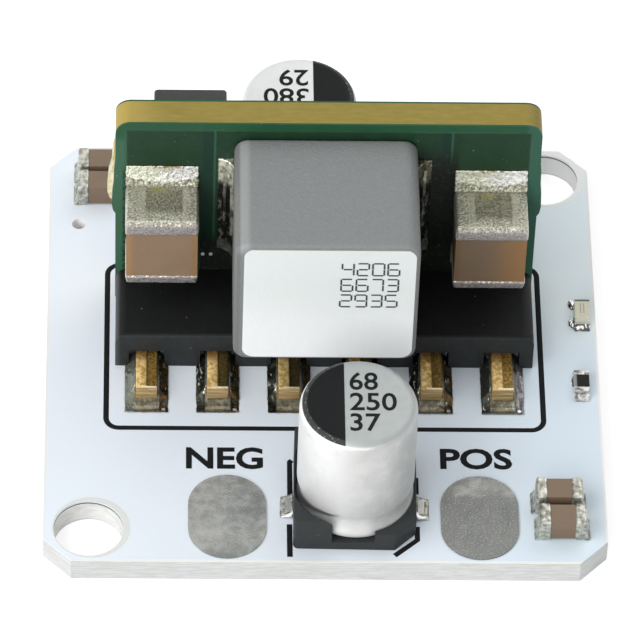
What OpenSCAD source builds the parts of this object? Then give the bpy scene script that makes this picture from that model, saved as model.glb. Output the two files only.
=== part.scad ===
// Buck converter module.
// An upright converter board stands on a low SMT pin header, whose six formed
// pins lie on the pads of a square carrier board. The carrier board holds the
// input and output capacitors, the power light and the wire pads.
// +X right, +Y towards the input side, +Z up. The origin is the centre of the
// carrier board's underside. Everything is in millimetres.

/* [Carrier board] */
// Width of the carrier board
carrier_w = 19.8; // [17.8:0.1:24]
// Depth of the carrier board
carrier_d = 19.6; // [17.6:0.1:24]
// Thickness of the carrier board
carrier_t = 1.0; // [0.8:0.1:1.6]
// Cut across each corner
corner_cut = 1.0; // [0.4:0.1:1.2]
// Diameter of the two mounting holes
mount_hole_d = 2.45; // [2.1:0.05:2.6]
// Mounting hole to the side edges
mount_inset_x = 1.6; // [1.5:0.05:1.8]
// Mounting hole to the front and rear edges
mount_inset_y = 1.45; // [1.4:0.05:1.7]
// Diameter of the small tooling hole
tooling_hole_d = 0.5; // [0.3:0.05:0.8]
// Tooling hole to the left edge
tooling_inset_x = 1.1; // [1:0.05:1.3]
// Tooling hole to the rear edge
tooling_inset_y = 3.8; // [3.6:0.05:4]

/* [Wire pads] */
// Outer side of a wire pad to the board's side edge
wire_pad_margin = 3.11; // [3.1:0.01:3.6]
// Free width between the two pads of one side
wire_pad_gap = 6.13; // [5.6:0.01:6.2]
// Length of a wire pad
wire_pad_l = 3.76; // [3:0.1:3.8]
// Height of the tinning over the board
wire_pad_h = 0.06; // [0.03:0.01:0.2]
// Wire pad to the board's front or rear edge
wire_pad_inset = 0.12; // [0.1:0.02:0.4]
// Middle of the two pads of one side to the middle of the board
wire_pads_x = 0.985; // [0.9:0.005:1]

/* [Pin header] */
// Number of pins
pin_count = 6; // [6]
// Distance from pin to pin
pin_pitch = 2.54; // [2.4:0.02:2.54]
// Width of the header body
header_w = 14.95; // [14.9:0.1:16]
// Depth of the header body
header_d = 3.17; // [2.8:0.05:3.4]
// Height of the header body
header_h = 1.65; // [1.6:0.05:2.2]
// Front of the header body to the middle of the board
header_front = 0.82; // [0.6:0.02:1]
// Rounding of the body's long top edges
header_round = 0.42; // [0.1:0.02:0.5]
// Bevel of the body's front top edge
header_bevel = 0.1; // [0.04:0.02:0.2]
// Width of a pin notch
notch_w = 1.27; // [1.1:0.01:1.4]
// Height of a pin notch
notch_h = 0.82; // [0.75:0.01:0.95]
// Depth of a pin notch
notch_depth = 0.9; // [0.6:0.05:1.2]
// Width of a pin
pin_w = 0.76; // [0.6:0.02:0.8]
// Thickness of a pin
pin_t = 0.6; // [0.5:0.02:0.64]
// Length of the foot in front of the body
pin_reach = 1.57; // [1.2:0.05:1.8]
// Rise from the foot to the tail
pin_rise = 0.66; // [0.62:0.02:0.8]
// Front of the pin's rise to the back of the header body
pin_rise_inset = 1.3; // [1.2:0.05:1.5]
// Outer radius of the pin's bends
pin_bend = 0.28; // [0.1:0.02:0.35]
// Tail length behind the upright board
pin_tail = 0.6; // [0.4:0.05:1]
// Depth of the coined step in the foot
coin_depth = 0.1; // [0.04:0.01:0.15]
// Coined step behind the tip of the foot
coin_start = 0.1; // [0.05:0.01:0.2]
// Width of a foot's pad
foot_pad_w = 1.57; // [1.4:0.01:1.6]
// Pad in front of the pin's tip
foot_pad_front = 0.64; // [0.4:0.02:0.8]
// Height of the solder beside a foot
foot_solder_h = 0.42; // [0.2:0.02:0.5]
// Height at which the solder starts to fall towards the tip of a foot
tip_solder_h = 0.32; // [0.16:0.02:0.36]
// Distance of that place behind the tip
tip_solder_back = 0.4; // [0.1:0.05:0.6]
// Thickness of the solder at the edge of a pad
solder_lip = 0.07; // [0.05:0.01:0.1]
// Diameter of the solder cone behind the upright board
tail_cone_d = 1.5; // [1.3:0.05:1.7]
// Height of that solder cone
tail_cone_h = 0.42; // [0.3:0.02:0.5]

/* [Upright board] */
// Width of the upright board
module_w = 15.0; // [14.9:0.1:16]
// Top of the upright board over the carrier board
module_h = 9.3; // [9.2:0.1:12]
// Thickness of the upright board
module_t = 1.15; // [0.8:0.05:1.6]
// Clearance under the upright board
module_lift = 0.15; // [0.1:0.05:0.25]
// Radius of the upright board's top corners
module_round = 0.55; // [0.2:0.05:0.8]
// Diameter of the pin holes
pin_hole_d = 1.02; // [1.02:0.01:1.1]
// Sideways shift of the header and upright board
module_shift = 0.05; // [0:0.01:0.1]
// Reach of the snapped stub on the left edge
stub_out = 0.29; // [0.1:0.01:0.3]
// Reach of the stub's front layer and of the right stub, as a share
stub_share = 0.45; // [0.3:0.05:0.9]
// Height of a snapped stub
stub_l = 3.3; // [2.5:0.1:4]

/* [Inductor] */
// Width of the core
core_w = 6.45; // [6:0.05:6.6]
// Height of the core
core_h = 5.95; // [5.4:0.05:6.2]
// Depth of the core
core_d = 5.02; // [4:0.05:5.2]
// Edge radius of the core
core_round = 0.5; // [0.2:0.05:0.7]
// Edge radius of the core's upright front edges
core_edge = 0.12; // [0.05:0.01:0.3]
// Height of the core's middle over the carrier board
core_z = 5.65; // [5.6:0.05:6]
// Sideways shift of the core on its board
core_shift = -0.1; // [-0.1:0.01:0.1]
// Thickness of the terminal straps
strap_t = 0.12; // [0.08:0.01:0.2]
// Height of a strap along the board
strap_h = 2.9; // [2:0.1:3.4]
// Length of a strap past the side of the core
strap_out = 0.36; // [0.2:0.02:0.45]
// Length of a strap under the core
strap_under = 1.6; // [1.2:0.1:2]
// Length of the strap's ear up the side of the core
ear_l = 1.3; // [0.8:0.1:2.5]
// Height of a terminal's solder pad
strap_pad_h = 4.7; // [4:0.1:5]
// Middle of that pad below the core's middle
strap_pad_drop = 0.45; // [0.2:0.05:0.6]
// Length of that solder pad past the strap
strap_pad_out = 0.2; // [0.1:0.02:0.3]
// Height of the solder on the strap
strap_solder_h = 0.5; // [0.3:0.05:0.8]

/* [Large ceramic capacitors] */
// Length of a large capacitor
big_l = 3.3; // [3:0.05:3.4]
// Width of a large capacitor
big_w = 2.6; // [2.3:0.05:2.7]
// Thickness of a large capacitor
big_h = 1.95; // [1.2:0.05:2.4]
// Edge radius of a large capacitor
big_round = 0.34; // [0.1:0.02:0.4]
// Band of its upper terminal
big_band_top = 0.72; // [0.4:0.02:0.8]
// Band of its lower terminal
big_band_low = 0.46; // [0.4:0.02:0.8]
// Sideways place of the left one, from the board's middle
big_left_x = 5.84; // [5.75:0.01:5.9]
// Sideways place of the right one, from the board's middle
big_right_x = 5.8; // [5.75:0.01:5.9]
// Height of the left one's middle over the carrier board
big_left_z = 4.7; // [4.6:0.05:5]
// Height of the right one's middle over the carrier board
big_right_z = 4.52; // [4.5:0.02:5]
// Run of the solder above and below
big_solder_run = 0.72; // [0.3:0.02:0.75]
// Height of that solder on the terminal
big_solder_rise = 0.3; // [0.2:0.05:0.6]

/* [Can capacitors] */
// Diameter of the can
can_d = 4.12; // [3.8:0.02:4.14]
// Height of the can
can_h = 5.03; // [4.4:0.05:6]
// Radius at the can's top edge
can_top_r = 0.16; // [0.05:0.01:0.3]
// Radius of the curled lower edge
can_curl_r = 0.24; // [0.1:0.02:0.3]
// Height of the bead groove over the can's foot
groove_z = 0.78; // [0.72:0.02:1.2]
// Radius of the bead groove
groove_r = 1.2; // [0.4:0.1:1.4]
// Depth of the bead groove
groove_depth = 0.08; // [0.04:0.01:0.08]
// Side of the moulded base
base_side = 4.3; // [4.26:0.01:4.6]
// Radius of the base's two square corners
base_round = 0.18; // [0.05:0.01:0.3]
// Height of the can's seat in the base
base_seat = 0.42; // [0.38:0.01:0.6]
// Height of the floor between the base's walls
base_floor = 0.36; // [0.3:0.01:0.37]
// Height of the low walls
base_low = 0.83; // [0.6:0.01:1]
// Height of the tall corner posts
base_post = 1.52; // [1.1:0.02:1.7]
// Flare of the posts round the can
base_flare = 0.28; // [0.1:0.02:0.3]
// Cut across the two marked corners
base_cut = 0.74; // [0.4:0.02:0.8]
// Width of the slot across the base
base_slot_w = 1.5; // [1.2:0.05:1.8]
// Sideways place of that slot
base_slot_x = -0.05; // [-0.1:0.01:0.1]
// Clearance between can and base
can_fit = 0.02; // [0.01:0.01:0.04]
// Width of a lead
lead_w = 0.65; // [0.4:0.05:0.8]
// Thickness of a lead
lead_t = 0.15; // [0.1:0.01:0.2]
// Inner end of a lead to the can's axis
lead_inner = 0.4; // [0.3:0.05:0.8]
// Length of a lead past the base
lead_out = 0.3; // [0.2:0.02:0.4]
// Leads in front of the can's axis
lead_shift = 0.3; // [0:0.05:0.4]
// Length of the lead's solder past the base
lead_pad_out = 0.5; // [0.42:0.02:0.6]
// Width of the lead's solder
lead_pad_w = 1.0; // [0.9:0.05:1.3]
// Height of the lead's solder
lead_solder_h = 0.3; // [0.2:0.02:0.4]
// Sideways place of the output can
output_can_x = 1.03; // [0.9:0.01:1.1]
// Output can to the front edge
output_can_inset = 2.7; // [2.5:0.05:2.8]
// Turn of the output can on its pads
output_can_turn = -0.9; // [-1.2:0.1:1.2]
// Sideways place of the input can
input_can_x = 0.85; // [0.8:0.01:1.1]
// Input can to the rear edge
input_can_inset = 2.45; // [2.4:0.05:2.8]

/* [Small chips] */
// Length of a small ceramic capacitor
chip_l = 1.66; // [1.5:0.01:1.7]
// Width of a small ceramic capacitor
chip_w = 0.93; // [0.75:0.01:0.95]
// Thickness of a small ceramic capacitor
chip_h = 0.9; // [0.6:0.02:1]
// Edge radius of a small ceramic capacitor
chip_round = 0.1; // [0.05:0.01:0.15]
// Terminal band of a small ceramic capacitor
chip_band = 0.38; // [0.25:0.01:0.45]
// Middle of the chips to the board's side edge, output side
output_chip_inset_x = 1.6; // [1.4:0.01:1.65]
// Middle of the chips to the board's side edge, input side
input_chip_inset_x = 1.88; // [1.6:0.01:2]
// Outer chip to the board's front edge, output side
output_chip_inset_y = 1.49; // [1.3:0.01:1.6]
// Outer chip to the board's rear edge, input side
input_chip_inset_y = 1.34; // [1.3:0.01:1.6]
// Distance between the two chips of the output side
output_chip_pitch = 1.18; // [1.05:0.01:1.25]
// Distance between the two chips of the input side
input_chip_pitch = 1.08; // [1.05:0.01:1.25]
// Sideways step from the outer to the inner output chip
output_chip_step = 0.09; // [0:0.01:0.15]
// Run of the solder past a small chip
chip_solder_run = 0.16; // [0.1:0.01:0.25]
// Height of the solder on a small chip
chip_solder_h = 0.4; // [0.2:0.02:0.5]
// Length of the power light and of its resistor
light_l = 0.98; // [0.9:0.02:1.1]
// Width of the power light and of its resistor
light_w = 0.54; // [0.45:0.01:0.6]
// Middle of the power light to the right edge
light_inset = 0.5; // [0.5:0.01:0.6]
// Power light behind the board's middle
light_y = 1.65; // [1.4:0.05:2]
// Middle of its resistor to the right edge
resistor_inset = 0.65; // [0.6:0.01:0.7]
// Its resistor in front of the board's middle
resistor_y = 1.69; // [1.5:0.01:2]
// Thickness of the power light's base
light_base_h = 0.14; // [0.1:0.01:0.2]
// Height of the power light's lens
light_lens_h = 0.3; // [0.2:0.01:0.4]
// Edge radius of the power light's lens
light_round = 0.06; // [0.02:0.01:0.1]
// Thickness of the chip resistors
resistor_h = 0.32; // [0.25:0.01:0.4]
// Terminal band of the chip resistors
resistor_band = 0.2; // [0.12:0.01:0.3]
// Run and height of the solder at a chip resistor
resistor_solder = 0.2; // [0.1:0.01:0.22]

/* [Parts behind the upright board] */
// Width of the converter chip
ic_w = 2.56; // [2.4:0.02:2.8]
// Height of the converter chip
ic_l = 3.0; // [2.6:0.1:3.2]
// Thickness of the converter chip
ic_t = 1.0; // [0.7:0.05:1.1]
// Middle of the converter chip to the upright board's middle
ic_x = 4.87; // [4.6:0.01:5]
// Converter chip to the board's top edge
ic_drop = 0.45; // [0.4:0.01:0.6]
// Edge radius of the converter chip
ic_round = 0.14; // [0.05:0.01:0.2]
// Distance between the converter chip's pads
ic_pad_pitch = 0.5; // [0.4:0.05:0.55]
// Width of a converter chip pad
ic_pad_w = 0.24; // [0.18:0.02:0.3]
// Length of a converter chip pad
ic_pad_l = 0.5; // [0.3:0.05:0.7]
// Pad length seen past the converter chip
ic_pad_out = 0.1; // [0.05:0.01:0.2]
// Length of a rear ceramic capacitor
rear_l = 2.0; // [1.9:0.05:2.2]
// Width of a rear ceramic capacitor
rear_w = 1.25; // [1.1:0.05:1.4]
// Thickness of a rear ceramic capacitor
rear_h = 1.25; // [0.8:0.05:1.3]
// Edge radius of a rear ceramic capacitor
rear_round = 0.12; // [0.08:0.01:0.2]
// Terminal band of a rear ceramic capacitor
rear_band = 0.45; // [0.3:0.02:0.6]
// Run of the solder past a rear ceramic capacitor
rear_solder_run = 0.3; // [0.15:0.01:0.34]
// Height of the solder on a rear ceramic capacitor
rear_solder_h = 0.6; // [0.3:0.05:0.8]
// Gap from the converter chip to the first rear capacitor
rear_gap = 0.8; // [0.4:0.1:1.2]
// Distance between the two rear capacitors
rear_pitch = 2.3; // [2.1:0.1:3]
// Rear capacitors to the board's top edge
rear_drop = 1.5; // [1:0.1:1.6]
// Distance between the feedback resistors
feedback_pitch = 1.1; // [0.9:0.05:1.2]
// Edge radius of a feedback resistor
feedback_round = 0.03; // [0.02:0.01:0.05]
// Feedback resistors below the converter chip
feedback_drop = 1.5; // [1.2:0.1:1.8]

/* [Hidden] */
$fn = 48;
eps = 0.01;
joint_t = 0.04;       // solder film under a terminal
cap_wall = 0.04;      // wall of a chip's end cap
module_y = header_d - header_front;
module_back = module_y + module_t;
module_z = carrier_t + module_lift;
module_top = carrier_t + module_h;
foot_z = carrier_t + joint_t;
tail_z = foot_z + pin_rise;
tail_mid = tail_z + pin_t / 2;
foot_y = -header_front - pin_reach;
bend_y = module_y - pin_rise_inset;
wire_pad_w = carrier_w / 2 - wire_pad_margin - wire_pads_x - wire_pad_gap / 2;
deep_curve = 0.95;    // radius of a well-wetted solder fillet over its slope length
flat_curve = 1.45;    // the same for a lean fillet

function pin_x(i) = module_shift + (i - (pin_count - 1) / 2) * pin_pitch;

// ---- general shapes -------------------------------------------------------

// Rectangle centred on the origin with true arcs at its corners.
module round_rect(w, h, r) {
    square([w - 2 * r, h], center = true);
    square([w, h - 2 * r], center = true);
    for (sx = [-1, 1], sy = [-1, 1])
        translate([sx * (w / 2 - r), sy * (h / 2 - r)]) circle(r);
}

// Rectangle centred on the origin with its corners cut at 45 degrees.
module cut_rect(w, h, cut) {
    x = w / 2;
    y = h / 2;
    polygon([[-x + cut, -y], [x - cut, -y], [x, -y + cut], [x, y - cut],
        [x - cut, y], [-x + cut, y], [-x, y - cut], [-x, -y + cut]]);
}

// Block with rounded edges, standing on z = 0 and centred in X and Y.
module soft_block(l, w, h, r) {
    intersection() {
        linear_extrude(h) round_rect(l, w, r);
        translate([0, w / 2, h / 2]) rotate([90, 0, 0])
            linear_extrude(w) round_rect(l, h, r);
    }
}

// Concave fillet section: rise tall at x = 0, lip tall at x = run.
module fillet_section(run, rise, lip, curve) {
    dx = run;
    dy = lip - rise;
    len = sqrt(dx * dx + dy * dy);
    r = curve * len;
    reach = sqrt(r * r - len * len / 4);
    difference() {
        square([run, rise]);
        translate([run / 2 - reach * dy / len, (rise + lip) / 2 + reach * dx / len])
            circle(r);
    }
}

// Section of a solder mound: flat in the middle, a fillet down each side.
module mound_section(flat, run, rise, lip) {
    translate([-flat, 0]) square([2 * flat, rise]);
    for (s = [0, 1]) mirror([s, 0])
        translate([flat, 0]) fillet_section(run, rise, lip, deep_curve);
}

// ---- carrier board --------------------------------------------------------

module carrier_board() {
    color("aliceblue") difference() {
        linear_extrude(carrier_t) cut_rect(carrier_w, carrier_d, corner_cut);
        for (s = [-1, 1])
            translate([s * (carrier_w / 2 - mount_inset_x), s * (carrier_d / 2 - mount_inset_y), -1])
                cylinder(d = mount_hole_d, h = carrier_t + 2);
        translate([tooling_inset_x - carrier_w / 2, carrier_d / 2 - tooling_inset_y, -1])
            cylinder(d = tooling_hole_d, h = carrier_t + 2);
    }
}

// Tinned pad for a soldered wire. side is 1 at the output and -1 at the input.
module wire_pad(side, hand) {
    color("silver") rotate([0, 0, side > 0 ? 0 : 180])
        translate([wire_pads_x + hand * (wire_pad_gap + wire_pad_w) / 2,
            -carrier_d / 2 + wire_pad_inset + wire_pad_l / 2, carrier_t])
            linear_extrude(wire_pad_h)
                round_rect(wire_pad_w, wire_pad_l, min(wire_pad_w, wire_pad_l) / 2 - eps);
}

// ---- pin header -----------------------------------------------------------

// Side view of a pin: a foot on its pad, a rise and a tail through the board.
module pin_section(reach_y, end_y) {
    difference() {
        translate([reach_y, foot_z]) square([bend_y + pin_t - reach_y, pin_t]);
        translate([bend_y + pin_t - pin_bend, foot_z - eps]) square([pin_bend + eps, pin_bend + eps]);
    }
    translate([bend_y + pin_t - pin_bend, foot_z + pin_bend]) circle(pin_bend);
    translate([bend_y, foot_z + pin_bend]) square([pin_t, pin_rise + pin_t - 2 * pin_bend]);
    translate([bend_y + pin_bend, tail_z + pin_t - pin_bend]) circle(pin_bend);
    difference() {
        translate([bend_y, tail_z]) square([end_y - bend_y, pin_t]);
        translate([bend_y - eps, tail_z + pin_t - pin_bend]) square([pin_bend + eps, pin_bend + eps]);
    }
}

module pin_body(i, reach_y, end_y) {
    translate([pin_x(i) - pin_w / 2, 0, 0]) rotate([90, 0, 90])
        linear_extrude(pin_w) pin_section(reach_y, end_y);
}

module pin(i) {
    color("goldenrod") difference() {
        pin_body(i, foot_y, module_back + pin_tail);
        translate([pin_x(i), foot_y + coin_start, foot_z + pin_t - coin_depth])
            cube([pin_w, pin_reach + notch_depth / 3, coin_depth + 1]);
    }
}

module header_section() {
    w = header_w / 2;
    r = header_round;
    translate([-w, 0]) square([header_w, header_h - r]);
    translate([-w + r, 0]) square([header_w - 2 * r, header_h]);
    for (s = [-1, 1]) translate([s * (w - r), header_h - r]) circle(r);
}

module header_body() {
    color([0.16, 0.17, 0.18]) difference() {
        translate([module_shift, module_y, carrier_t]) rotate([90, 0, 0])
            linear_extrude(header_d) header_section();
        translate([module_shift, -header_front, carrier_t + header_h]) rotate([45, 0, 0])
            cube([header_w + 1, header_bevel * sqrt(2), header_bevel * sqrt(2)], center = true);
        for (i = [0:pin_count - 1]) {
            translate([pin_x(i) - notch_w / 2, -header_front - 1, carrier_t - 1])
                cube([notch_w, notch_depth + 1, notch_h + 1]);
            translate([pin_x(i) - pin_w / 2, -header_front, carrier_t - 1])
                cube([pin_w, bend_y + pin_t - pin_bend + header_front, 1 + joint_t + pin_t]);
            pin_body(i, -header_front - 1, module_y + 1);
        }
    }
}

// Solder round a foot on its pad, and round the tail behind the board.
module pin_solder(i) {
    front = foot_y - foot_pad_front;
    back = -header_front + notch_depth / 2;
    side_run = (foot_pad_w - pin_w) / 2;
    color([0.55, 0.55, 0.5]) {
        difference() {
            intersection() {
                translate([pin_x(i), back, carrier_t]) rotate([90, 0, 0])
                    linear_extrude(back - front)
                        mound_section(pin_w / 2, side_run, foot_solder_h, solder_lip);
                translate([pin_x(i) - foot_pad_w / 2, foot_y, carrier_t]) rotate([90, 0, 90])
                    linear_extrude(foot_pad_w) {
                        translate([tip_solder_back, 0]) mirror([1, 0])
                            fillet_section(foot_pad_front + tip_solder_back,
                                tip_solder_h, solder_lip, deep_curve);
                        translate([tip_solder_back, 0])
                            square([back - foot_y - tip_solder_back, foot_solder_h + 1]);
                    }
            }
            pin_body(i, foot_y, module_back);
            for (s = [0, 1]) translate([pin_x(i), -header_front, carrier_t]) mirror([s, 0, 0])
                translate([notch_w / 2, 0, -1]) cube([foot_pad_w, notch_depth, header_h]);
        }
        difference() {
            translate([pin_x(i), module_y, tail_mid]) rotate([-90, 0, 0]) {
                cylinder(d = pin_hole_d, h = module_t + eps);
                translate([0, 0, module_t])
                    cylinder(d1 = tail_cone_d, d2 = pin_hole_d, h = tail_cone_h);
            }
            pin_body(i, foot_y, module_back + pin_tail + 1);
        }
    }
}

// ---- upright board --------------------------------------------------------

// Ragged stub left where the board was snapped from its panel. Each point is
// its distance out from the edge and its height from the stub's middle, as
// shares of the stub's reach and height.
stub_points = [[-1, -0.3], [0, -0.29], [0.67, -0.24], [1, -0.14], [0.83, 0.08],
    [0.46, 0.23], [0.38, 0.41], [0.08, 0.55], [0, 0.67], [-1, 0.7]];

module snap_stub(hand, reach) {
    translate([hand * module_w / 2, module_h * 0.6])
        polygon([for (p = stub_points) [hand * reach * p[0], stub_l * p[1]]]);
}

module module_section() {
    w = module_w / 2;
    r = module_round;
    translate([-w, module_lift]) square([module_w, module_h - module_lift - r]);
    translate([-w + r, module_lift]) square([module_w - 2 * r, module_h - module_lift]);
    for (s = [-1, 1]) translate([s * (w - r), module_h - r]) circle(r);
}

module module_board() {
    color([0.1, 0.32, 0.2]) difference() {
        translate([module_shift, module_back, carrier_t]) rotate([90, 0, 0]) {
            linear_extrude(module_t) module_section();
            linear_extrude(module_t / 2) snap_stub(-1, stub_out);
            linear_extrude(module_t) snap_stub(-1, stub_out * stub_share);
            linear_extrude(module_t) snap_stub(1, stub_out * stub_share);
        }
        for (i = [0:pin_count - 1])
            translate([pin_x(i), module_y - 1, tail_mid]) rotate([-90, 0, 0])
                cylinder(d = pin_hole_d, h = module_t + 2);
    }
}

// ---- parts on the upright board -------------------------------------------

module inductor_core() {
    color([0.45, 0.45, 0.46])
        translate([module_shift + core_shift, module_y - strap_t, carrier_t + core_z])
            rotate([90, 0, 0]) intersection() {
                linear_extrude(core_d) round_rect(core_w, core_h, core_round);
                translate([0, 0, core_d / 2]) rotate([90, 0, 0])
                    linear_extrude(core_h, center = true)
                        round_rect(core_w, core_d, core_edge);
            }
}

// Places a piece at the core's middle on the upright board, hand -1 mirrored.
module at_core(hand) {
    translate([module_shift + core_shift, module_y, carrier_t + core_z])
        mirror([hand > 0 ? 0 : 1, 0, 0]) children();
}

// Strap between the core and the board, with an ear up the core's side.
module terminal_strap() {
    side = core_w / 2;
    translate([side - strap_under, -strap_t, -strap_h / 2])
        cube([strap_under + strap_out, strap_t, strap_h]);
    translate([side, -ear_l, -strap_h / 4]) cube([strap_t, ear_l - strap_t, strap_h / 2]);
}

module inductor_terminal(hand) {
    color("silver") at_core(hand) terminal_strap();
}

module inductor_solder() {
    run = strap_out + strap_pad_out;
    color([0.6, 0.6, 0.55]) for (hand = [-1, 1]) at_core(hand) difference() {
        translate([core_w / 2, 0, -strap_pad_drop - strap_pad_h / 2]) linear_extrude(strap_pad_h)
            mirror([0, 1]) fillet_section(run, strap_solder_h, joint_t, deep_curve);
        terminal_strap();
    }
}

// Ceramic of a chip, lying along X on z = 0.
module chip_body(l, w, h, r) {
    translate([0, 0, cap_wall]) soft_block(l - 2 * cap_wall, w - 2 * cap_wall, h - 2 * cap_wall, r);
}

// End caps of a chip: left_band at -X and right_band at +X.
module chip_ends(l, w, h, r, left_band, right_band) {
    difference() {
        soft_block(l, w, h, r);
        chip_body(l, w, h, r);
        translate([-l / 2 + left_band, -w, -1]) cube([l - left_band - right_band, 2 * w, h + 2]);
    }
}

// Solder fillets at both ends of a chip, with the film under its terminals.
module chip_solder(l, w, run, rise, film) {
    for (s = [0, 1]) mirror([s, 0, 0]) {
        translate([l / 2, w / 2, 0]) rotate([90, 0, 0])
            linear_extrude(w) fillet_section(run, rise, film, flat_curve);
        translate([l / 2 - film * 4, -w / 2, 0]) cube([film * 4, w, film]);
    }
}

// Places a chip upright on the front of the upright board.
module on_front(x, z) {
    translate([module_shift + x, module_y, carrier_t + z]) rotate([90, -90, 0]) children();
}

// Places a chip on the back of the upright board.
module on_back(x, z, turn) {
    translate([module_shift + x, module_back, carrier_t + z]) rotate([-90, turn, 0]) children();
}

module big_body(x, z) {
    color([0.55, 0.43, 0.32]) on_front(x, z) translate([0, 0, joint_t])
        chip_body(big_l, big_w, big_h, big_round);
}

module big_ends(x, z) {
    color([0.7, 0.7, 0.66]) on_front(x, z) translate([0, 0, joint_t])
        chip_ends(big_l, big_w, big_h, big_round, big_band_low, big_band_top);
}

module big_solder(x, z) {
    color([0.85, 0.85, 0.82]) on_front(x, z)
        chip_solder(big_l, big_w, big_solder_run, big_solder_rise, joint_t);
}

module converter_ic() {
    color([0.1, 0.1, 0.1])
        on_back(-ic_x, module_h - ic_drop - ic_l / 2, 90) translate([0, 0, joint_t])
            soft_block(ic_l, ic_w, ic_t - joint_t, ic_round);
}

module converter_ic_pads() {
    color("silver") on_back(-ic_x, module_h - ic_drop - ic_l / 2, 90)
        for (s = [-1, 1], k = [-2:2])
            translate([k * ic_pad_pitch, s * (ic_w / 2 + ic_pad_out - ic_pad_l / 2), joint_t / 2])
                cube([ic_pad_w, ic_pad_l, joint_t], center = true);
}

// The two input capacitors behind the upright board.
module rear_mlcc_place(i) {
    on_back(-ic_x + ic_w / 2 + rear_gap + rear_w / 2 + i * rear_pitch,
        module_h - rear_drop - rear_l / 2, 90) children();
}

module rear_mlcc_body(i) {
    color([0.55, 0.43, 0.32]) rear_mlcc_place(i) translate([0, 0, joint_t])
        chip_body(rear_l, rear_w, rear_h, rear_round);
}

module rear_mlcc_ends(i) {
    color("silver") rear_mlcc_place(i) {
        translate([0, 0, joint_t])
            chip_ends(rear_l, rear_w, rear_h, rear_round, rear_band, rear_band);
        chip_solder(rear_l, rear_w, rear_solder_run, rear_solder_h, joint_t);
    }
}

module feedback_place() {
    for (k = [-1:1])
        on_back(-ic_x + k * feedback_pitch, module_h - ic_drop - ic_l - feedback_drop, 90) children();
}

module feedback_chips_body() {
    color([0.1, 0.1, 0.1]) feedback_place() translate([0, 0, joint_t])
        chip_body(light_l, light_w, resistor_h, feedback_round);
}

module feedback_chips_ends() {
    color("silver") feedback_place() {
        translate([0, 0, joint_t])
            chip_ends(light_l, light_w, resistor_h, feedback_round, resistor_band, resistor_band);
        chip_solder(light_l, light_w, resistor_solder, resistor_solder, joint_t);
    }
}

// ---- can capacitors -------------------------------------------------------

// side is 1 for the output can and -1 for the input can, turned half round.
module can_place(side) {
    rotate([0, 0, side > 0 ? 0 : 180])
        translate([side > 0 ? output_can_x : input_can_x,
            -carrier_d / 2 + (side > 0 ? output_can_inset : input_can_inset), carrier_t])
            rotate([0, 0, side > 0 ? output_can_turn : 0]) children();
}

// Half section of the drawn aluminium can with its bead groove and curl.
module can_section() {
    r = can_d / 2;
    difference() {
        union() {
            square([r - can_curl_r, can_h]);
            translate([0, can_curl_r]) square([r, can_h - can_curl_r - can_top_r]);
            square([r - can_curl_r, can_curl_r]);
            translate([0, can_h / 2]) square([r - can_top_r, can_h / 2]);
            translate([r - can_top_r, can_h - can_top_r]) circle(can_top_r);
            translate([r - can_curl_r, can_curl_r]) circle(can_curl_r);
        }
        translate([r + groove_r - groove_depth, groove_z]) circle(groove_r);
    }
}

module can(side) {
    color([0.88, 0.88, 0.86]) can_place(side) translate([0, 0, base_seat])
        rotate_extrude($fn = 96) can_section();
}

// Square with two rounded corners and the two of the marked side cut off.
module base_outline() {
    h = base_side / 2;
    intersection() {
        polygon([[-h, -h], [h - base_cut, -h], [h, -h + base_cut], [h, h - base_cut],
            [h - base_cut, h], [-h, h]]);
        round_rect(base_side, base_side, base_round);
    }
}

module can_base(side) {
    h = base_side / 2;
    seat_d = can_d + 2 * can_fit;
    color([0.22, 0.23, 0.24]) can_place(side) difference() {
        union() {
            linear_extrude(base_low) base_outline();
            linear_extrude(base_post) intersection() {
                base_outline();
                translate([-h, -h]) square([h, base_side]);
            }
        }
        translate([0, 0, base_seat]) cylinder(d = seat_d, h = base_post, $fn = 96);
        translate([0, 0, base_low])
            cylinder(d1 = seat_d, d2 = seat_d + 2 * base_flare, h = base_post - base_low, $fn = 96);
        translate([base_slot_x - base_slot_w / 2, -h - 1, base_floor])
            cube([base_slot_w, base_side + 2, base_post]);
        for (s = [0, 1]) mirror([s, 0, 0])
            translate([lead_inner, -lead_shift - lead_w / 2, -1])
                cube([h, lead_w, 1 + joint_t + lead_t]);
    }
}

module can_leads(side) {
    color("silver") can_place(side) for (s = [0, 1]) mirror([s, 0, 0])
        translate([lead_inner, -lead_shift - lead_w / 2, joint_t])
            cube([base_side / 2 + lead_out - lead_inner, lead_w, lead_t]);
}

module can_solder(side) {
    h = base_side / 2;
    color([0.7, 0.7, 0.68]) can_place(side) for (s = [0, 1]) mirror([s, 0, 0])
        translate([0, -lead_shift, 0]) difference() {
            union() {
                translate([h, lead_pad_w / 2, 0]) rotate([90, 0, 0])
                    linear_extrude(lead_pad_w)
                        fillet_section(lead_pad_out, lead_solder_h, joint_t, flat_curve);
                translate([lead_inner, -lead_w / 2, 0]) cube([h - lead_inner, lead_w, joint_t]);
            }
            translate([lead_inner, -lead_w / 2, joint_t])
                cube([h + lead_out - lead_inner, lead_w, lead_t]);
        }
}

// ---- small chips on the carrier board -------------------------------------

// Chips of one side, counted from the board's edge inwards.
module chip_place(side, i) {
    x = side > 0 ? output_chip_inset_x + i * output_chip_step : input_chip_inset_x;
    y = side > 0 ? output_chip_inset_y + i * output_chip_pitch
        : input_chip_inset_y + i * input_chip_pitch;
    rotate([0, 0, side > 0 ? 0 : 180])
        translate([carrier_w / 2 - x, -carrier_d / 2 + y, carrier_t]) children();
}

module small_body(side, i) {
    color([0.52, 0.42, 0.34]) chip_place(side, i) translate([0, 0, joint_t])
        chip_body(chip_l, chip_w, chip_h, chip_round);
}

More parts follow.
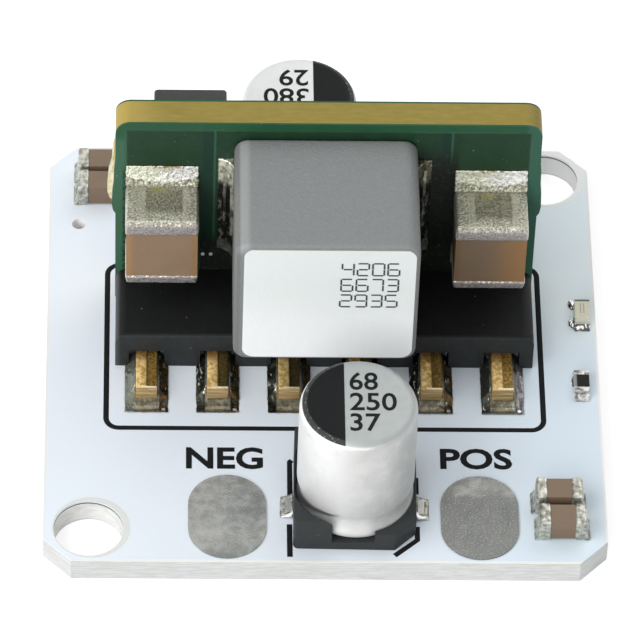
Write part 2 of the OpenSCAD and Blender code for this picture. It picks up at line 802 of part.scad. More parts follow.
module small_ends(side, i) {
    color([0.72, 0.72, 0.68]) chip_place(side, i) {
        translate([0, 0, joint_t]) chip_ends(chip_l, chip_w, chip_h, chip_round, chip_band, chip_band);
        chip_solder(chip_l, chip_w, chip_solder_run, chip_solder_h, joint_t);
    }
}

module light_place() {
    translate([carrier_w / 2 - light_inset, light_y, carrier_t]) rotate([0, 0, 90]) children();
}

module light_base() {
    color([0.9, 0.9, 0.85]) light_place() translate([-light_l / 2, -light_w / 2, joint_t])
        cube([light_l, light_w, light_base_h]);
}

module light_lens() {
    color([0.85, 0.83, 0.7]) light_place() translate([0, 0, joint_t + light_base_h])
        soft_block(light_l - 2 * cap_wall, light_w, light_lens_h, light_round);
}

module light_ends() {
    color("silver") light_place()
        chip_solder(light_l, light_w, resistor_solder, joint_t + light_base_h, joint_t);
}

module resistor_place() {
    translate([carrier_w / 2 - resistor_inset, -resistor_y, carrier_t]) rotate([0, 0, 90]) children();
}

module resistor_body() {
    color("white") resistor_place()
        translate([-light_l / 2 + cap_wall, -light_w / 2, joint_t + cap_wall])
            cube([light_l - 2 * cap_wall, light_w, resistor_h - 2 * cap_wall]);
}

module resistor_glaze() {
    color([0.1, 0.1, 0.1]) resistor_place()
        translate([-light_l / 2 + resistor_band, -light_w / 2, joint_t + resistor_h - cap_wall])
            cube([light_l - 2 * resistor_band, light_w, cap_wall]);
}

module resistor_ends() {
    color("silver") resistor_place() {
        translate([0, 0, joint_t]) difference() {
            translate([-light_l / 2, -light_w / 2, 0]) cube([light_l, light_w, resistor_h]);
            translate([-light_l / 2 + cap_wall, -light_w, cap_wall])
                cube([light_l - 2 * cap_wall, 2 * light_w, resistor_h - 2 * cap_wall]);
            translate([-light_l / 2 + resistor_band, -light_w, -1])
                cube([light_l - 2 * resistor_band, 2 * light_w, 2]);
        }
        chip_solder(light_l, light_w, resistor_solder, resistor_solder, joint_t);
    }
}

// ---- drawing --------------------------------------------------------------

carrier_board();
wire_pad(1, -1);  // output_pad_minus
wire_pad(1, 1);  // output_pad_plus
wire_pad(-1, -1);  // input_pad_minus
wire_pad(-1, 1);  // input_pad_plus
header_body();
module_board();
for (i = [0:pin_count - 1]) {
    pin(i);
    pin_solder(i);
}
inductor_core();
inductor_terminal(-1);  // inductor_terminal_left
inductor_terminal(1);  // inductor_terminal_right
inductor_solder();
big_body(-big_left_x, big_left_z);  // left_mlcc_body
big_ends(-big_left_x, big_left_z);  // left_mlcc_ends
big_solder(-big_left_x, big_left_z);  // left_mlcc_solder
big_body(big_right_x, big_right_z);  // right_mlcc_body
big_ends(big_right_x, big_right_z);  // right_mlcc_ends
big_solder(big_right_x, big_right_z);  // right_mlcc_solder
can(1);  // output_can
can_base(1);  // output_can_base
can_leads(1);  // output_can_leads
can_solder(1);  // output_can_solder
can(-1);  // input_can
can_base(-1);  // input_can_base
can_leads(-1);  // input_can_leads
can_solder(-1);  // input_can_solder
for (i = [0, 1]) {
    small_body(1, i);
    small_ends(1, i);
    small_body(-1, i);
    small_ends(-1, i);
    rear_mlcc_body(i);
    rear_mlcc_ends(i);
}
light_base();
light_lens();
light_ends();
resistor_body();
resistor_glaze();
resistor_ends();
converter_ic();
converter_ic_pads();
feedback_chips_body();
feedback_chips_ends();
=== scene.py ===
"""Looks of a buck converter module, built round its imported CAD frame.

The sections follow the module as it is put together: the carrier board and its
prints, the pin header, the upright converter board with its parts, the can
capacitors and the small chips, then the studio.
"""

import math

import bpy
from mathutils import Matrix, Vector


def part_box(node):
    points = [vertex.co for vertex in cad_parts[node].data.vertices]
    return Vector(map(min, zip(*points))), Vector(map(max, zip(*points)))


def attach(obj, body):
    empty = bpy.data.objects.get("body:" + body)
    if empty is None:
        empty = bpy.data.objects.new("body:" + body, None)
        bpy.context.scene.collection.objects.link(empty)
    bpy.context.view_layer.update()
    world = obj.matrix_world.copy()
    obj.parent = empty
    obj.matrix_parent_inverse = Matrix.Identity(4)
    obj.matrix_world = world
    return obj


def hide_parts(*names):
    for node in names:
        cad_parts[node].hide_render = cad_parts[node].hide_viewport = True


MM = 0.001

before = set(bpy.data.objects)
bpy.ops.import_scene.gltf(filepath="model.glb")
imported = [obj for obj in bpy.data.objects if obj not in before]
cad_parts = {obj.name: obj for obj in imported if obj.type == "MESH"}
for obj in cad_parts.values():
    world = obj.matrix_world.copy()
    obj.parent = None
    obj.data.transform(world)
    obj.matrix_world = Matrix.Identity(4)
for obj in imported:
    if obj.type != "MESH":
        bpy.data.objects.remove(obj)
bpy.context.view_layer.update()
bpy.ops.object.select_all(action="DESELECT")


# ---- carrier board ----
# A square of glass-fibre laminate under white solder mask, routed out of its
# panel with cut corners. The bare laminate shows along its milled edges.


def paint(red, green, blue):
    """A colour given as 0-255 display values, in the linear numbers of a shader."""
    return tuple((c / 12.92 if c <= 0.04045 else ((c + 0.055) / 1.055) ** 2.4)
                 for c in (red / 255, green / 255, blue / 255))


class Look:
    """One Principled material. Its patterns read Object coordinates in millimetres.

    Its first colour and those of mix, blend and cloudy are 0-255 display values.
    """

    def __init__(self, name, colour, rough, metal=0.0, specular=0.5):
        self.material = bpy.data.materials.new(name)
        self.material.use_nodes = True
        self.tree = self.material.node_tree
        self.shader = self.tree.nodes["Principled BSDF"]
        coords = self.tree.nodes.new("ShaderNodeTexCoord")
        scale = self.tree.nodes.new("ShaderNodeVectorMath")
        scale.operation = "SCALE"
        scale.inputs["Scale"].default_value = 1 / MM
        self.tree.links.new(coords.outputs["Object"], scale.inputs[0])
        self.place = scale.outputs["Vector"]
        self.relief = None
        self.colour(paint(*colour))
        self.rough(rough)
        self.put(self.shader.inputs["Metallic"], metal)
        self.put(self.shader.inputs["Specular IOR Level"], specular)

    def put(self, socket, value):
        """Gives a socket a link, a number or a colour."""
        if isinstance(value, bpy.types.NodeSocket):
            self.tree.links.new(value, socket)
        elif isinstance(value, tuple) and len(value) == 3 and socket.type == "RGBA":
            socket.default_value = (*value, 1.0)
        else:
            socket.default_value = value

    def colour(self, value):
        self.put(self.shader.inputs["Base Color"], value)

    def rough(self, value):
        self.put(self.shader.inputs["Roughness"], value)

    def axis(self, name):
        """X, Y or Z of the surface point, in millimetres."""
        node = self.tree.nodes.new("ShaderNodeSeparateXYZ")
        self.put(node.inputs[0], self.place)
        return node.outputs[name]

    x = property(lambda self: self.axis("X"))
    y = property(lambda self: self.axis("Y"))
    z = property(lambda self: self.axis("Z"))

    def math(self, operation, a, b=0.0, c=0.0):
        node = self.tree.nodes.new("ShaderNodeMath")
        node.operation = operation
        for socket, value in zip(node.inputs, (a, b, c)):
            self.put(socket, value)
        return node.outputs[0]

    def times(self, a, b):
        return self.math("MULTIPLY", a, b)

    def most(self, a, b):
        return self.math("MAXIMUM", a, b)

    def off(self, value, middle):
        """Distance of a value from its middle."""
        return self.math("ABSOLUTE", self.math("SUBTRACT", value, middle))

    def fade(self, value, low, high):
        """0 at low and 1 at high, with a soft step between."""
        node = self.tree.nodes.new("ShaderNodeMapRange")
        node.interpolation_type = "SMOOTHSTEP"
        self.put(node.inputs["Value"], value)
        node.inputs["From Min"].default_value = low
        node.inputs["From Max"].default_value = high
        return node.outputs["Result"]

    def band(self, value, middle, half, soft):
        """1 within half of middle, fading to 0 over soft."""
        return self.fade(self.off(value, middle), half + soft, half)

    def moved(self, stretch, turn=0.0):
        """The surface point stretched along X, Y and Z after a turn about Z."""
        node = self.tree.nodes.new("ShaderNodeMapping")
        node.vector_type = "POINT"
        self.put(node.inputs["Vector"], self.place)
        node.inputs["Rotation"].default_value = (turn, turn, turn)
        node.inputs["Scale"].default_value = stretch
        return node.outputs["Vector"]

    def noise(self, per_mm, detail=3.0, stretch=(1, 1, 1), turn=0.0, rough=0.5):
        """Cloudy noise from 0 to 1 with per_mm blots to the millimetre."""
        node = self.tree.nodes.new("ShaderNodeTexNoise")
        self.put(node.inputs["Vector"], self.moved(stretch, turn))
        node.inputs["Scale"].default_value = per_mm
        node.inputs["Detail"].default_value = detail
        node.inputs["Roughness"].default_value = rough
        return node.outputs["Fac"]

    def patches(self, low, high, *noise, **more):
        """Noise sharpened to patches: 0 up to low, 1 from high."""
        return self.fade(self.noise(*noise, **more), low, high)

    def cloudy(self, a, b, *noise, **more):
        """Two colours that drift into each other with noise."""
        return self.mix(self.noise(*noise, **more), a, b)

    def specks(self, per_mm, size, stretch=(1, 1, 1)):
        """1 on scattered round specks of that size, 0 between them."""
        node = self.tree.nodes.new("ShaderNodeTexVoronoi")
        self.put(node.inputs["Vector"], self.moved(stretch))
        node.inputs["Scale"].default_value = per_mm
        rare = self.fade(self.noise(per_mm * 0.6, 1.0), 0.52, 0.6)
        return self.times(self.fade(node.outputs["Distance"], size, size * 0.4), rare)

    def mix(self, share, a, b, strength=None):
        """Colour a where share is 0 and b where it is 1, or partly b by a strength under 1."""
        share = self.times(share, strength) if strength else share
        node = self.tree.nodes.new("ShaderNodeMix")
        node.data_type = "RGBA"
        for socket, value in zip((node.inputs["Factor"], node.inputs[6], node.inputs[7]), (share, a, b)):
            self.put(socket, paint(*value) if isinstance(value, tuple) else value)
        return node.outputs[2]

    def blend(self, value, low, high, a, b, strength=None):
        """Colour a where the value is low, b where it is high."""
        return self.mix(self.fade(value, low, high), a, b, strength)

    def bump(self, height, depth):
        """Adds relief of that depth, in millimetres, to what is there."""
        node = self.tree.nodes.new("ShaderNodeBump")
        node.inputs["Distance"].default_value = depth * MM
        self.put(node.inputs["Height"], height)
        if self.relief is not None:
            self.put(node.inputs["Normal"], self.relief)
        self.relief = node.outputs["Normal"]
        self.put(self.shader.inputs["Normal"], self.relief)

    def grit(self, depth, *noise, **more):
        self.bump(self.noise(*noise, **more), depth)


def in_mm(corners):
    """The two corners of a box, in millimetres."""
    return [corner / MM for corner in corners]


def dress(look, *nodes):
    """Gives CAD nodes a look."""
    for node in nodes:
        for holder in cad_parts[node].material_slots:
            holder.material = look.material


def distance(look, x, y):
    """How far a point with those offsets lies from the middle."""
    return look.math("SQRT", look.math("MULTIPLY_ADD", x, x, look.times(y, y)))


board_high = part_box("carrier_board")[1] / MM
board_top = board_high.z

mask = Look("white_solder_mask", (231, 237, 244), 0.38, specular=0.45)
mask_line = 0.03
cloud = mask.noise(0.5, 2.0)
tone = mask.mix(cloud, (229, 237, 246), (235, 242, 250))
# Painted light: the mask is painted lighter and bluer towards the left end, where the key light falls.
tone = mask.blend(mask.x, -4.0, -9.0, tone, (238, 246, 255))
streaks = mask.noise(1.4, 5.0, stretch=(1.0, 1.0, 14.0), rough=0.6)
laminate = mask.blend(streaks, 0.3, 0.7, (204, 206, 204), (226, 228, 228))
height = mask.z
bare = mask.times(mask.fade(height, board_top - mask_line, board_top - mask_line - 0.02),
                  mask.fade(height, mask_line, mask_line + 0.02))
reach_x = mask.math("ABSOLUTE", mask.x)
reach_y = mask.math("ABSOLUTE", mask.y)
# Painted shade: the mask turns cooler and bluer towards the right, away from the key light.
tone = mask.blend(mask.x, 0.0, 9.0, tone, (224, 238, 249))
# Painted light: the right end behind the upright board is painted lighter, against that board's cast
# shadow.
right_end_painted_light = mask.times(mask.fade(mask.x, 6.5, 8.5), mask.fade(mask.y, -0.5, 2.0))
tone = mask.mix(right_end_painted_light, tone, (236, 249, 255))
margin = mask.most(mask.fade(reach_x, board_high.x - 0.1, board_high.x - 0.06),
                   mask.fade(reach_y, board_high.y - 0.1, board_high.y - 0.06))
tone = mask.mix(margin, tone, (244, 244, 241))
hole_x, hole_y = 8.3, 8.35
off_hole = distance(mask, mask.math("SUBTRACT", reach_x, hole_x), mask.math("SUBTRACT", reach_y, hole_y))
in_hole = mask.fade(off_hole, 1.38, 1.28)
wall = mask.blend(mask.noise(2.0, 4.0, stretch=(1.0, 1.0, 3.0)), 0.3, 0.7, (228, 228, 226), (246, 246, 244))
# Painted light: the wall of the right rear hole is painted whiter, in the upright board's shadow.
wall = mask.blend(mask.x, 5.0, 6.0, wall, (252, 252, 252))
wall = mask.mix(mask.band(height, board_top - 0.09, 0.02, 0.02), wall, (88, 90, 88))
wall = mask.blend(height, 0.07, 0.03, wall, (150, 150, 148))
laminate = mask.mix(in_hole, laminate, wall)
tool_x, tool_y = -8.8, 6.0
off_tool = distance(mask, mask.math("SUBTRACT", mask.x, tool_x), mask.math("SUBTRACT", mask.y, tool_y))
# Painted light: the laminate inside the small tooling hole is painted near white, as light through the
# hole.
laminate = mask.blend(off_tool, 0.4, 0.35, laminate, (254, 251, 251))
# Painted light: the mask round the right rear hole is painted paler.
painted_light_rear_corner = mask.times(mask.fade(off_hole, 1.95, 1.75), mask.fade(mask.y, 8.4, 9.1))
tone = mask.mix(mask.times(painted_light_rear_corner, mask.fade(mask.x, 5.0, 6.0)), tone, (250, 251, 250))
mask.colour(mask.mix(bare, tone, laminate))
mask.rough(mask.math("MULTIPLY_ADD", bare, 0.35, 0.36))
mask.bump(mask.times(mask.noise(14.0, 3.0), bare), 0.03)
dress(mask, "carrier_board")


# ---- bare rings and printed lines ----
# The mask stops short of the mounting holes. The black print is screened ink,
# a few hundredths thick: a frame round the header, the can outlines and the
# polarity labels.


def select_only(piece):
    bpy.ops.object.select_all(action="DESELECT")
    piece.select_set(True)
    bpy.context.view_layer.objects.active = piece


def new_piece(name, data):
    """A new selected object in the scene with that mesh or curve."""
    piece = bpy.data.objects.new(name, data)
    bpy.context.collection.objects.link(piece)
    select_only(piece)
    return piece


def edit_all():
    """Edit mode with the whole mesh selected."""
    bpy.ops.object.mode_set(mode="EDIT")
    bpy.ops.mesh.select_all(action="SELECT")


def settle(piece):
    """Bakes a piece's place, turn and scale into its mesh."""
    select_only(piece)
    bpy.ops.object.transform_apply(location=True, rotation=True, scale=True)


def apply_all(piece):
    """Applies a piece's modifiers in order."""
    select_only(piece)
    for modifier in list(piece.modifiers):
        bpy.ops.object.modifier_apply(modifier=modifier.name)


def fit(piece, look, replaces=()):
    """Finishes a piece: its look, and the CAD nodes it stands for."""
    piece.data.materials.clear()
    piece.data.materials.append(look.material)
    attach(piece, "root")
    if replaces:
        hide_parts(*replaces)
    select_only(piece)
    piece.select_set(False)
    return piece


def ring(name, x, y, z, inner, outer, thick, shift, steps=64):
    """A flat ring lying on z, its outer edge shifted off the hole's middle."""
    bpy.ops.mesh.primitive_circle_add(vertices=steps, radius=inner * MM,
                                      location=(x * MM, y * MM, z * MM))
    piece = bpy.context.object
    piece.name = name
    edit_all()
    bpy.ops.mesh.extrude_edges_move()
    bpy.ops.transform.resize(value=(outer / inner, outer / inner, 1.0))
    bpy.ops.transform.translate(value=(shift[0] * MM, shift[1] * MM, 0))
    bpy.ops.mesh.select_all(action="SELECT")
    bpy.ops.mesh.extrude_region_move(TRANSFORM_OT_translate={"value": (0, 0, thick * MM)})
    bpy.ops.mesh.select_all(action="SELECT")
    bpy.ops.mesh.normals_make_consistent(inside=False)
    bpy.ops.object.mode_set(mode="OBJECT")
    settle(piece)
    return piece


bare_laminate = Look("bare_laminate", (228, 231, 227), 0.55)
# Painted light: the ring of the right rear hole is painted paler, in the upright board's shadow.
bare_laminate.colour(bare_laminate.blend(bare_laminate.x, 5.0, 6.0, (228, 231, 227), (250, 252, 250)))
bare_laminate.grit(0.02, 12.0)
ring_inner, ring_outer, ring_h = 1.23, 1.37, 0.008
ring_shift = (0.09, 0.04)
for number, side in enumerate((-1, 1), 1):
    fit(ring(f"hole_ring_{number}", side * hole_x, side * hole_y, board_top, ring_inner, ring_outer,
             ring_h, ring_shift), bare_laminate)

ink = Look("screened_ink", (26, 27, 29), 0.7, specular=0.1)
ink.colour(ink.cloudy((19, 20, 22), (34, 35, 37), 9.0, 3.0))
ink.grit(0.01, 22.0, 2.0)
ink_h = 0.012


def arc(x, y, radius, start, end, steps=6):
    """Points of an arc in the plan, with its angles in degrees."""
    turns = [math.radians(start + (end - start) * k / steps) for k in range(steps + 1)]
    return [(x + radius * math.cos(t), y + radius * math.sin(t)) for t in turns]


def ink_line(name, points, width, closed=False, look=None):
    """An ink line along points on the board, as a flattened round cord."""
    curve = bpy.data.curves.new(name, "CURVE")
    curve.dimensions = "3D"
    curve.bevel_depth = width / 2 * MM
    curve.bevel_resolution = 2
    curve.use_fill_caps = True
    line = curve.splines.new("POLY")
    line.points.add(len(points) - 1)
    for point, (x, y) in zip(line.points, points):
        point.co = (x * MM, y * MM, 0.0, 1.0)
    line.use_cyclic_u = closed
    new_piece(name, curve)
    bpy.ops.object.convert(target="MESH")
    piece = bpy.context.object
    piece.scale.z = 2 * ink_h / width
    piece.location.z = board_top * MM
    settle(piece)
    return fit(piece, look or ink)


frame_left, frame_right = -7.73, 7.84
frame_front, frame_rear = -3.73, 4.0
corner = 0.45
outline = (arc(frame_right - corner, frame_front + corner, corner, -90, 0)
           + arc(frame_right - corner, frame_rear - corner, corner, 0, 90)
           + arc(frame_left + corner, frame_rear - corner, corner, 90, 180)
           + arc(frame_left + corner, frame_front + corner, corner, 180, 270))
line_w = 0.2
ink_line("print_frame", outline, line_w, closed=True)

can_outline = (("a", [(-1.16, -5.2), (-1.23, -5.28), (-1.23, -6.95)]),
               ("b", [(-1.26, -8.12), (-1.26, -9.58)]),
               ("c", [(3.21, -5.97), (3.21, -6.72)]),
               ("d", [(3.21, -8.2), (3.21, -8.79), (2.4, -9.5)]))
can_swap_x, can_swap_y, last_y = 0.18, 0.25, 9.6
for letter, points in can_outline:
    turned_points = [(can_swap_x - x, min(can_swap_y - y, last_y)) for x, y in points]
    ink_line(f"print_output_can_{letter}", points, line_w)
    ink_line(f"print_input_can_{letter}", turned_points, line_w)


def lettering(name, words, x, y, z, width, height, look, turn=0.0, thick=0.008, bold=0.0):
    """Words fitted in a box whose lower left corner is x, y, standing thick over z."""
    bpy.ops.object.text_add()
    piece = bpy.context.object
    piece.name = name
    piece.data.body = words
    piece.data.offset = bold
    piece.data.extrude = 0.5
    piece.data.resolution_u = 4
    bpy.ops.object.convert(target="MESH")
    piece = bpy.context.object
    low = Vector([min(v.co[k] for v in piece.data.vertices) for k in range(3)])
    high = Vector([max(v.co[k] for v in piece.data.vertices) for k in range(3)])
    size = high - low
    piece.data.transform(Matrix.Translation((-low.x, -low.y, 0.0)))
    piece.scale = (width / size.x * MM, height / size.y * MM, 2 * thick * MM)
    piece.rotation_euler.z = turn
    piece.location = (x * MM, y * MM, z * MM)
    settle(piece)
    return fit(piece, look)


label_bold = 0.028
lettering("print_neg_output", "NEG", -4.89, -5.61, board_top, 2.72, 1.0, ink, bold=label_bold)
lettering("print_pos_output", "POS", 4.1, -5.56, board_top, 2.55, 0.95, ink, bold=label_bold)
lettering("print_neg_input", "NEG", 2.5, 5.35, board_top, 2.72, 1.0, ink, turn=math.pi, bold=label_bold)
lettering("print_pos_input", "POS", -4.5, 5.35, board_top, 2.55, 0.95, ink, turn=math.pi, bold=label_bold)


# ---- wire pads ----
# Copper pads levelled with hot-air solder, dull and faintly dimpled.

tinned = Look("dull_tinning", (150, 151, 148), 0.48, 0.75)
patches = tinned.noise(3.0, 4.0, rough=0.62)
grain = tinned.noise(16.0, 3.0)
tone = tinned.blend(patches, 0.3, 0.7, (150, 151, 148), (178, 179, 176))
# Painted shade: the pads darken towards the right, away from the key light, with broad darker and lighter
# patches painted as shading.
tone = tinned.blend(tinned.x, -3.0, 4.5, tone, (132, 133, 130))
clouds = tinned.noise(0.5, 3.0, rough=0.6)
tone = tinned.blend(clouds, 0.5, 0.3, tone, (116, 121, 117), 0.7)
tone = tinned.blend(clouds, 0.5, 0.68, tone, (192, 191, 186), 0.7)
tinned.colour(tinned.blend(grain, 0.55, 0.8, tone, (196, 197, 194)))
tinned.bump(patches, 0.02)
tinned.bump(grain, 0.015)
dress(tinned, "output_pad_minus", "output_pad_plus", "input_pad_minus", "input_pad_plus")


# ---- header body ----
# Black glass-filled plastic, moulded round the six pins, with a fine matt skin
# in which a few light fibres and dust specks show. The front face and the left
# end are painted lighter, as painted light.


def copy_of(node, name):
    """A new piece with a CAD node's shape, its loose triangles merged to faces."""
    piece = new_piece(name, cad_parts[node].data.copy())
    if piece.data.has_custom_normals:
        bpy.ops.mesh.customdata_custom_splitnormals_clear()
    edit_all()
    bpy.ops.mesh.remove_doubles(threshold=0.0005 * MM)
    bpy.ops.mesh.dissolve_limited(angle_limit=math.radians(0.5))
    bpy.ops.mesh.select_all(action="DESELECT")
    bpy.ops.object.mode_set(mode="OBJECT")
    return piece


def bevel(piece, width, segments=3):
    """Rounds a piece's sharp edges once its modifiers are applied."""
    edges = piece.modifiers.new("edges", "BEVEL")
    edges.width = width * MM
    edges.segments = segments
    edges.limit_method = "ANGLE"
    edges.angle_limit = math.radians(35)


def eased(node, name, radius, segments=3):
    """A copy of a CAD node with its sharp edges rounded."""
    piece = copy_of(node, name)
    bevel(piece, radius, segments)
    apply_all(piece)
    bpy.ops.object.shade_smooth_by_angle(angle=math.radians(40))
    return piece


plastic = Look("black_moulded_plastic", (30, 32, 32), 0.55, specular=0.12)
skin = plastic.cloudy((21, 23, 22), (31, 33, 32), 2.2, 4.0)
header_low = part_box("header_body")[0] / MM
# Painted light: the front face and the left end are painted lighter than the top.
front_face_painted_light = plastic.fade(plastic.y, header_low.y + 0.08, header_low.y + 0.02)
left_end_painted_light = plastic.fade(plastic.x, header_low.x + 0.2, header_low.x + 0.02)
skin = plastic.mix(front_face_painted_light, skin, plastic.cloudy((42, 45, 46), (56, 59, 60), 3.0, 4.0))
skin = plastic.mix(left_end_painted_light, skin, (80, 82, 82))
plastic.colour(plastic.mix(plastic.specks(2.6, 0.09), skin, (120, 122, 122)))
plastic.grit(0.02, 20.0, 3.0)
fit(eased("header_body", "header_body_moulded", 0.04), plastic, ("header_body",))


# ---- pins ----
# Formed brass, plated with gold. The right half of each foot's top is coined a
# step lower and painted dark as painted shade, darkest on the middle pins under
# the inductor. A painted highlight runs along the front of each foot's top.

pin_pitch = 2.54
pin_first = sum((corner.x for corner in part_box("pin_1")), 0.0) / 2 / MM
foot_top = 1.64
foot_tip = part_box("pin_1")[0].y / MM
coin_start = 0.1
gold = Look("gold_plate", (214, 176, 108), 0.34, 0.4)
wear = gold.noise(6.0, 4.0, rough=0.65)
fresh = gold.blend(wear, 0.36, 0.64, (202, 160, 80), (255, 226, 162))
across = gold.math("WRAP", gold.math("SUBTRACT", gold.x, pin_first), pin_pitch / 2, -pin_pitch / 2)
right_half = gold.fade(across, 0.0, 0.02)
upper = gold.fade(gold.z, foot_top - 0.2, foot_top - 0.14)
behind = gold.fade(gold.y, foot_tip + coin_start - 0.01, foot_tip + coin_start + 0.02)
coined = gold.times(right_half, gold.times(behind, upper))
# Painted shade: the coined halves are painted dark, darkest on the middle pins under the inductor.
under_core_shade = gold.fade(gold.math("ABSOLUTE", gold.x), 4.6, 3.2)
grain = gold.patches(0.35, 0.65, 11.0, 3.0, rough=0.6)
coined_painted_shade = gold.mix(under_core_shade, gold.mix(grain, (116, 90, 38), (186, 150, 78)),
                 gold.mix(grain, (58, 52, 32), (96, 84, 48)))
amber = gold.fade(gold.y, -1.3, -0.85)
tinted = gold.mix(amber, fresh, (128, 82, 26), 0.75)
drawn = gold.noise(2.0, 2.0, stretch=(0.5, 1.0, 6.0), rough=0.4)
cut_face = gold.blend(drawn, 0.3, 0.7, (170, 140, 88), (214, 188, 142))
front_face = gold.fade(gold.y, foot_tip + 0.03, foot_tip + 0.01)
tone = gold.mix(coined, tinted, coined_painted_shade)
tone = gold.mix(front_face, tone, cut_face)
# A painted highlight along the front of each foot's top.
lit_step = gold.times(gold.fade(across, -0.22, -0.16),
                      gold.times(upper, gold.band(gold.y, foot_tip + 0.06, 0.03, 0.02)))
gold.colour(gold.mix(lit_step, tone, (255, 243, 208)))
gold.rough(gold.math("MULTIPLY_ADD", wear, 0.3, 0.24))
gold.grit(0.03, 4.0, 3.0, stretch=(1.0, 1.0, 6.0))
for number in range(1, 7):
    fit(eased(f"pin_{number}", f"pin_{number}_plated", 0.035), gold, (f"pin_{number}",))


# ---- pin solder ----
# Reflowed solder: a glossy fillet up each side of the foot, dimpled, with amber
# flux, and a cone round the tail behind the upright board. The fillet sides are
# painted dark as painted reflection, with painted glints, a painted sheen and a
# painted white glint.


def reskin(piece, voxel, rounds):
    """One closed skin over a piece, relaxed by rounds of smoothing."""
    skin = piece.modifiers.new("skin", "REMESH")
    skin.mode = "VOXEL"
    skin.voxel_size = voxel * MM
    relax = piece.modifiers.new("relax", "SMOOTH")
    relax.factor = 0.5
    relax.iterations = rounds


def roughen(piece, lump, depth, name):
    """Adds real lumps of that size and depth, in millimetres, then applies it all."""
    cloud_field = bpy.data.textures.new(name + "_lumps", "CLOUDS")
    cloud_field.noise_scale = lump * MM
    cloud_field.noise_depth = 2
    lumps = piece.modifiers.new("lumps", "DISPLACE")
    lumps.texture = cloud_field
    lumps.texture_coords = "LOCAL"
    lumps.strength = depth * MM
    lumps.mid_level = 0.5
    apply_all(piece)
    bpy.ops.object.shade_smooth()


def join(piece, others):
    """Joins other pieces into one."""
    select_only(piece)
    for other in others:
        other.select_set(True)
    if others:
        bpy.ops.object.join()


def cast(node, name, voxel, lump, depth, cores=(), smooth=2, ease=0.0):
    """One closed, softened and lumpy skin over a CAD node, with blocks that fill it.

    Each core is the lowest and highest corner of a block, in millimetres.
    """
    piece = copy_of(node, name)
    blocks = []
    for low, high in cores:
        bpy.ops.mesh.primitive_cube_add(size=MM, location=(Vector(low) + Vector(high)) / 2 * MM)
        block = bpy.context.object
        block.scale = Vector(high) - Vector(low)
        settle(block)
        blocks.append(block)
    join(piece, blocks)
    if ease:
        bevel(piece, ease)
    reskin(piece, voxel, smooth)
    roughen(piece, lump, depth, name)
    return piece


fillet = Look("pin_solder", (90, 90, 82), 0.26, 0.6)
across = fillet.math("WRAP", fillet.math("SUBTRACT", fillet.x, pin_first), pin_pitch / 2,
                     -pin_pitch / 2)
along = fillet.y
beside = fillet.fade(fillet.math("ABSOLUTE", across), 0.42, 0.47)
# Painted reflection: the sides are painted dark, with painted glints along the ripples, paler on pin 1's
# left and grey-lilac on pin 6's right; the amber patches are flux.
ripple = fillet.noise(7.0, 2.0, stretch=(1.2, 0.4, 0.6), turn=0.7, rough=0.5)
glints = fillet.fade(ripple, 0.62, 0.68)
shade = fillet.blend(fillet.noise(2.5, 3.0), 0.4, 0.7, (34, 34, 26), (88, 91, 80))
shade = fillet.blend(fillet.x, 5.0, 6.0, shade, (74, 78, 70))
side_tone = fillet.mix(glints, shade, (226, 226, 218))
flux = fillet.times(fillet.patches(0.42, 0.6, 3.0, 3.0), fillet.fade(across, 0.3, 0.45))
side_tone = fillet.mix(flux, side_tone, (104, 76, 26), 0.7)
pale_joint = fillet.times(fillet.fade(fillet.x, pin_first + 1.0, pin_first),
                          fillet.fade(across, 0.0, -0.3))
side_tone = fillet.mix(pale_joint, side_tone, (132, 136, 124), 0.85)
lilac_joint = fillet.times(fillet.fade(fillet.x, 6.2, 6.5), fillet.fade(across, 0.2, 0.35))
side_tone = fillet.mix(lilac_joint, side_tone, fillet.blend(ripple, 0.45, 0.6, (92, 92, 96),
                                                            (150, 150, 152)), 0.8)
mottle = fillet.noise(3.5, 2.0, stretch=(1.0, 1.6, 1.0), rough=0.5)
front_tone = fillet.blend(mottle, 0.3, 0.7, (104, 104, 92), (150, 150, 138))
# A painted sheen across the front of each joint.
sheen = fillet.times(fillet.band(along, foot_tip - 0.4, 0.05, 0.06), fillet.fade(mottle, 0.3, 0.5))
front_tone = fillet.mix(sheen, front_tone, (184, 184, 176), 0.8)
front_tone = fillet.blend(along, foot_tip - 0.52, foot_tip - 0.6, front_tone, (88, 88, 76))
tone = fillet.mix(beside, front_tone, side_tone)
# A painted white glint on each joint.
spot = fillet.times(fillet.band(across, 0.6, 0.045, 0.03),
                    fillet.band(along, foot_tip - 0.5, 0.045, 0.03))
fillet.colour(fillet.mix(spot, tone, (250, 250, 248)))
fillet.bump(ripple, 0.04)
for number in range(1, 7):
    fit(cast(f"pin_solder_{number}", f"pin_joint_{number}", 0.03, 0.16, 0.03, smooth=12), fillet,
        (f"pin_solder_{number}",))


# ---- upright board ----
# Green glass-fibre laminate. A copper pour darkens the mask inside a border,
# and the routed edges show the ochre laminate between the two mask films.
# Painted shade darkens the pour beside the inductor core, and the ochre is
# painted lighter towards the left end as painted light.

module_low, module_high = in_mm(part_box("module_board"))
module_front, module_back = module_low.y, module_high.y
module_top = module_high.z
module_mid = 0.05
module_half = 7.5
pour_margin = 0.38

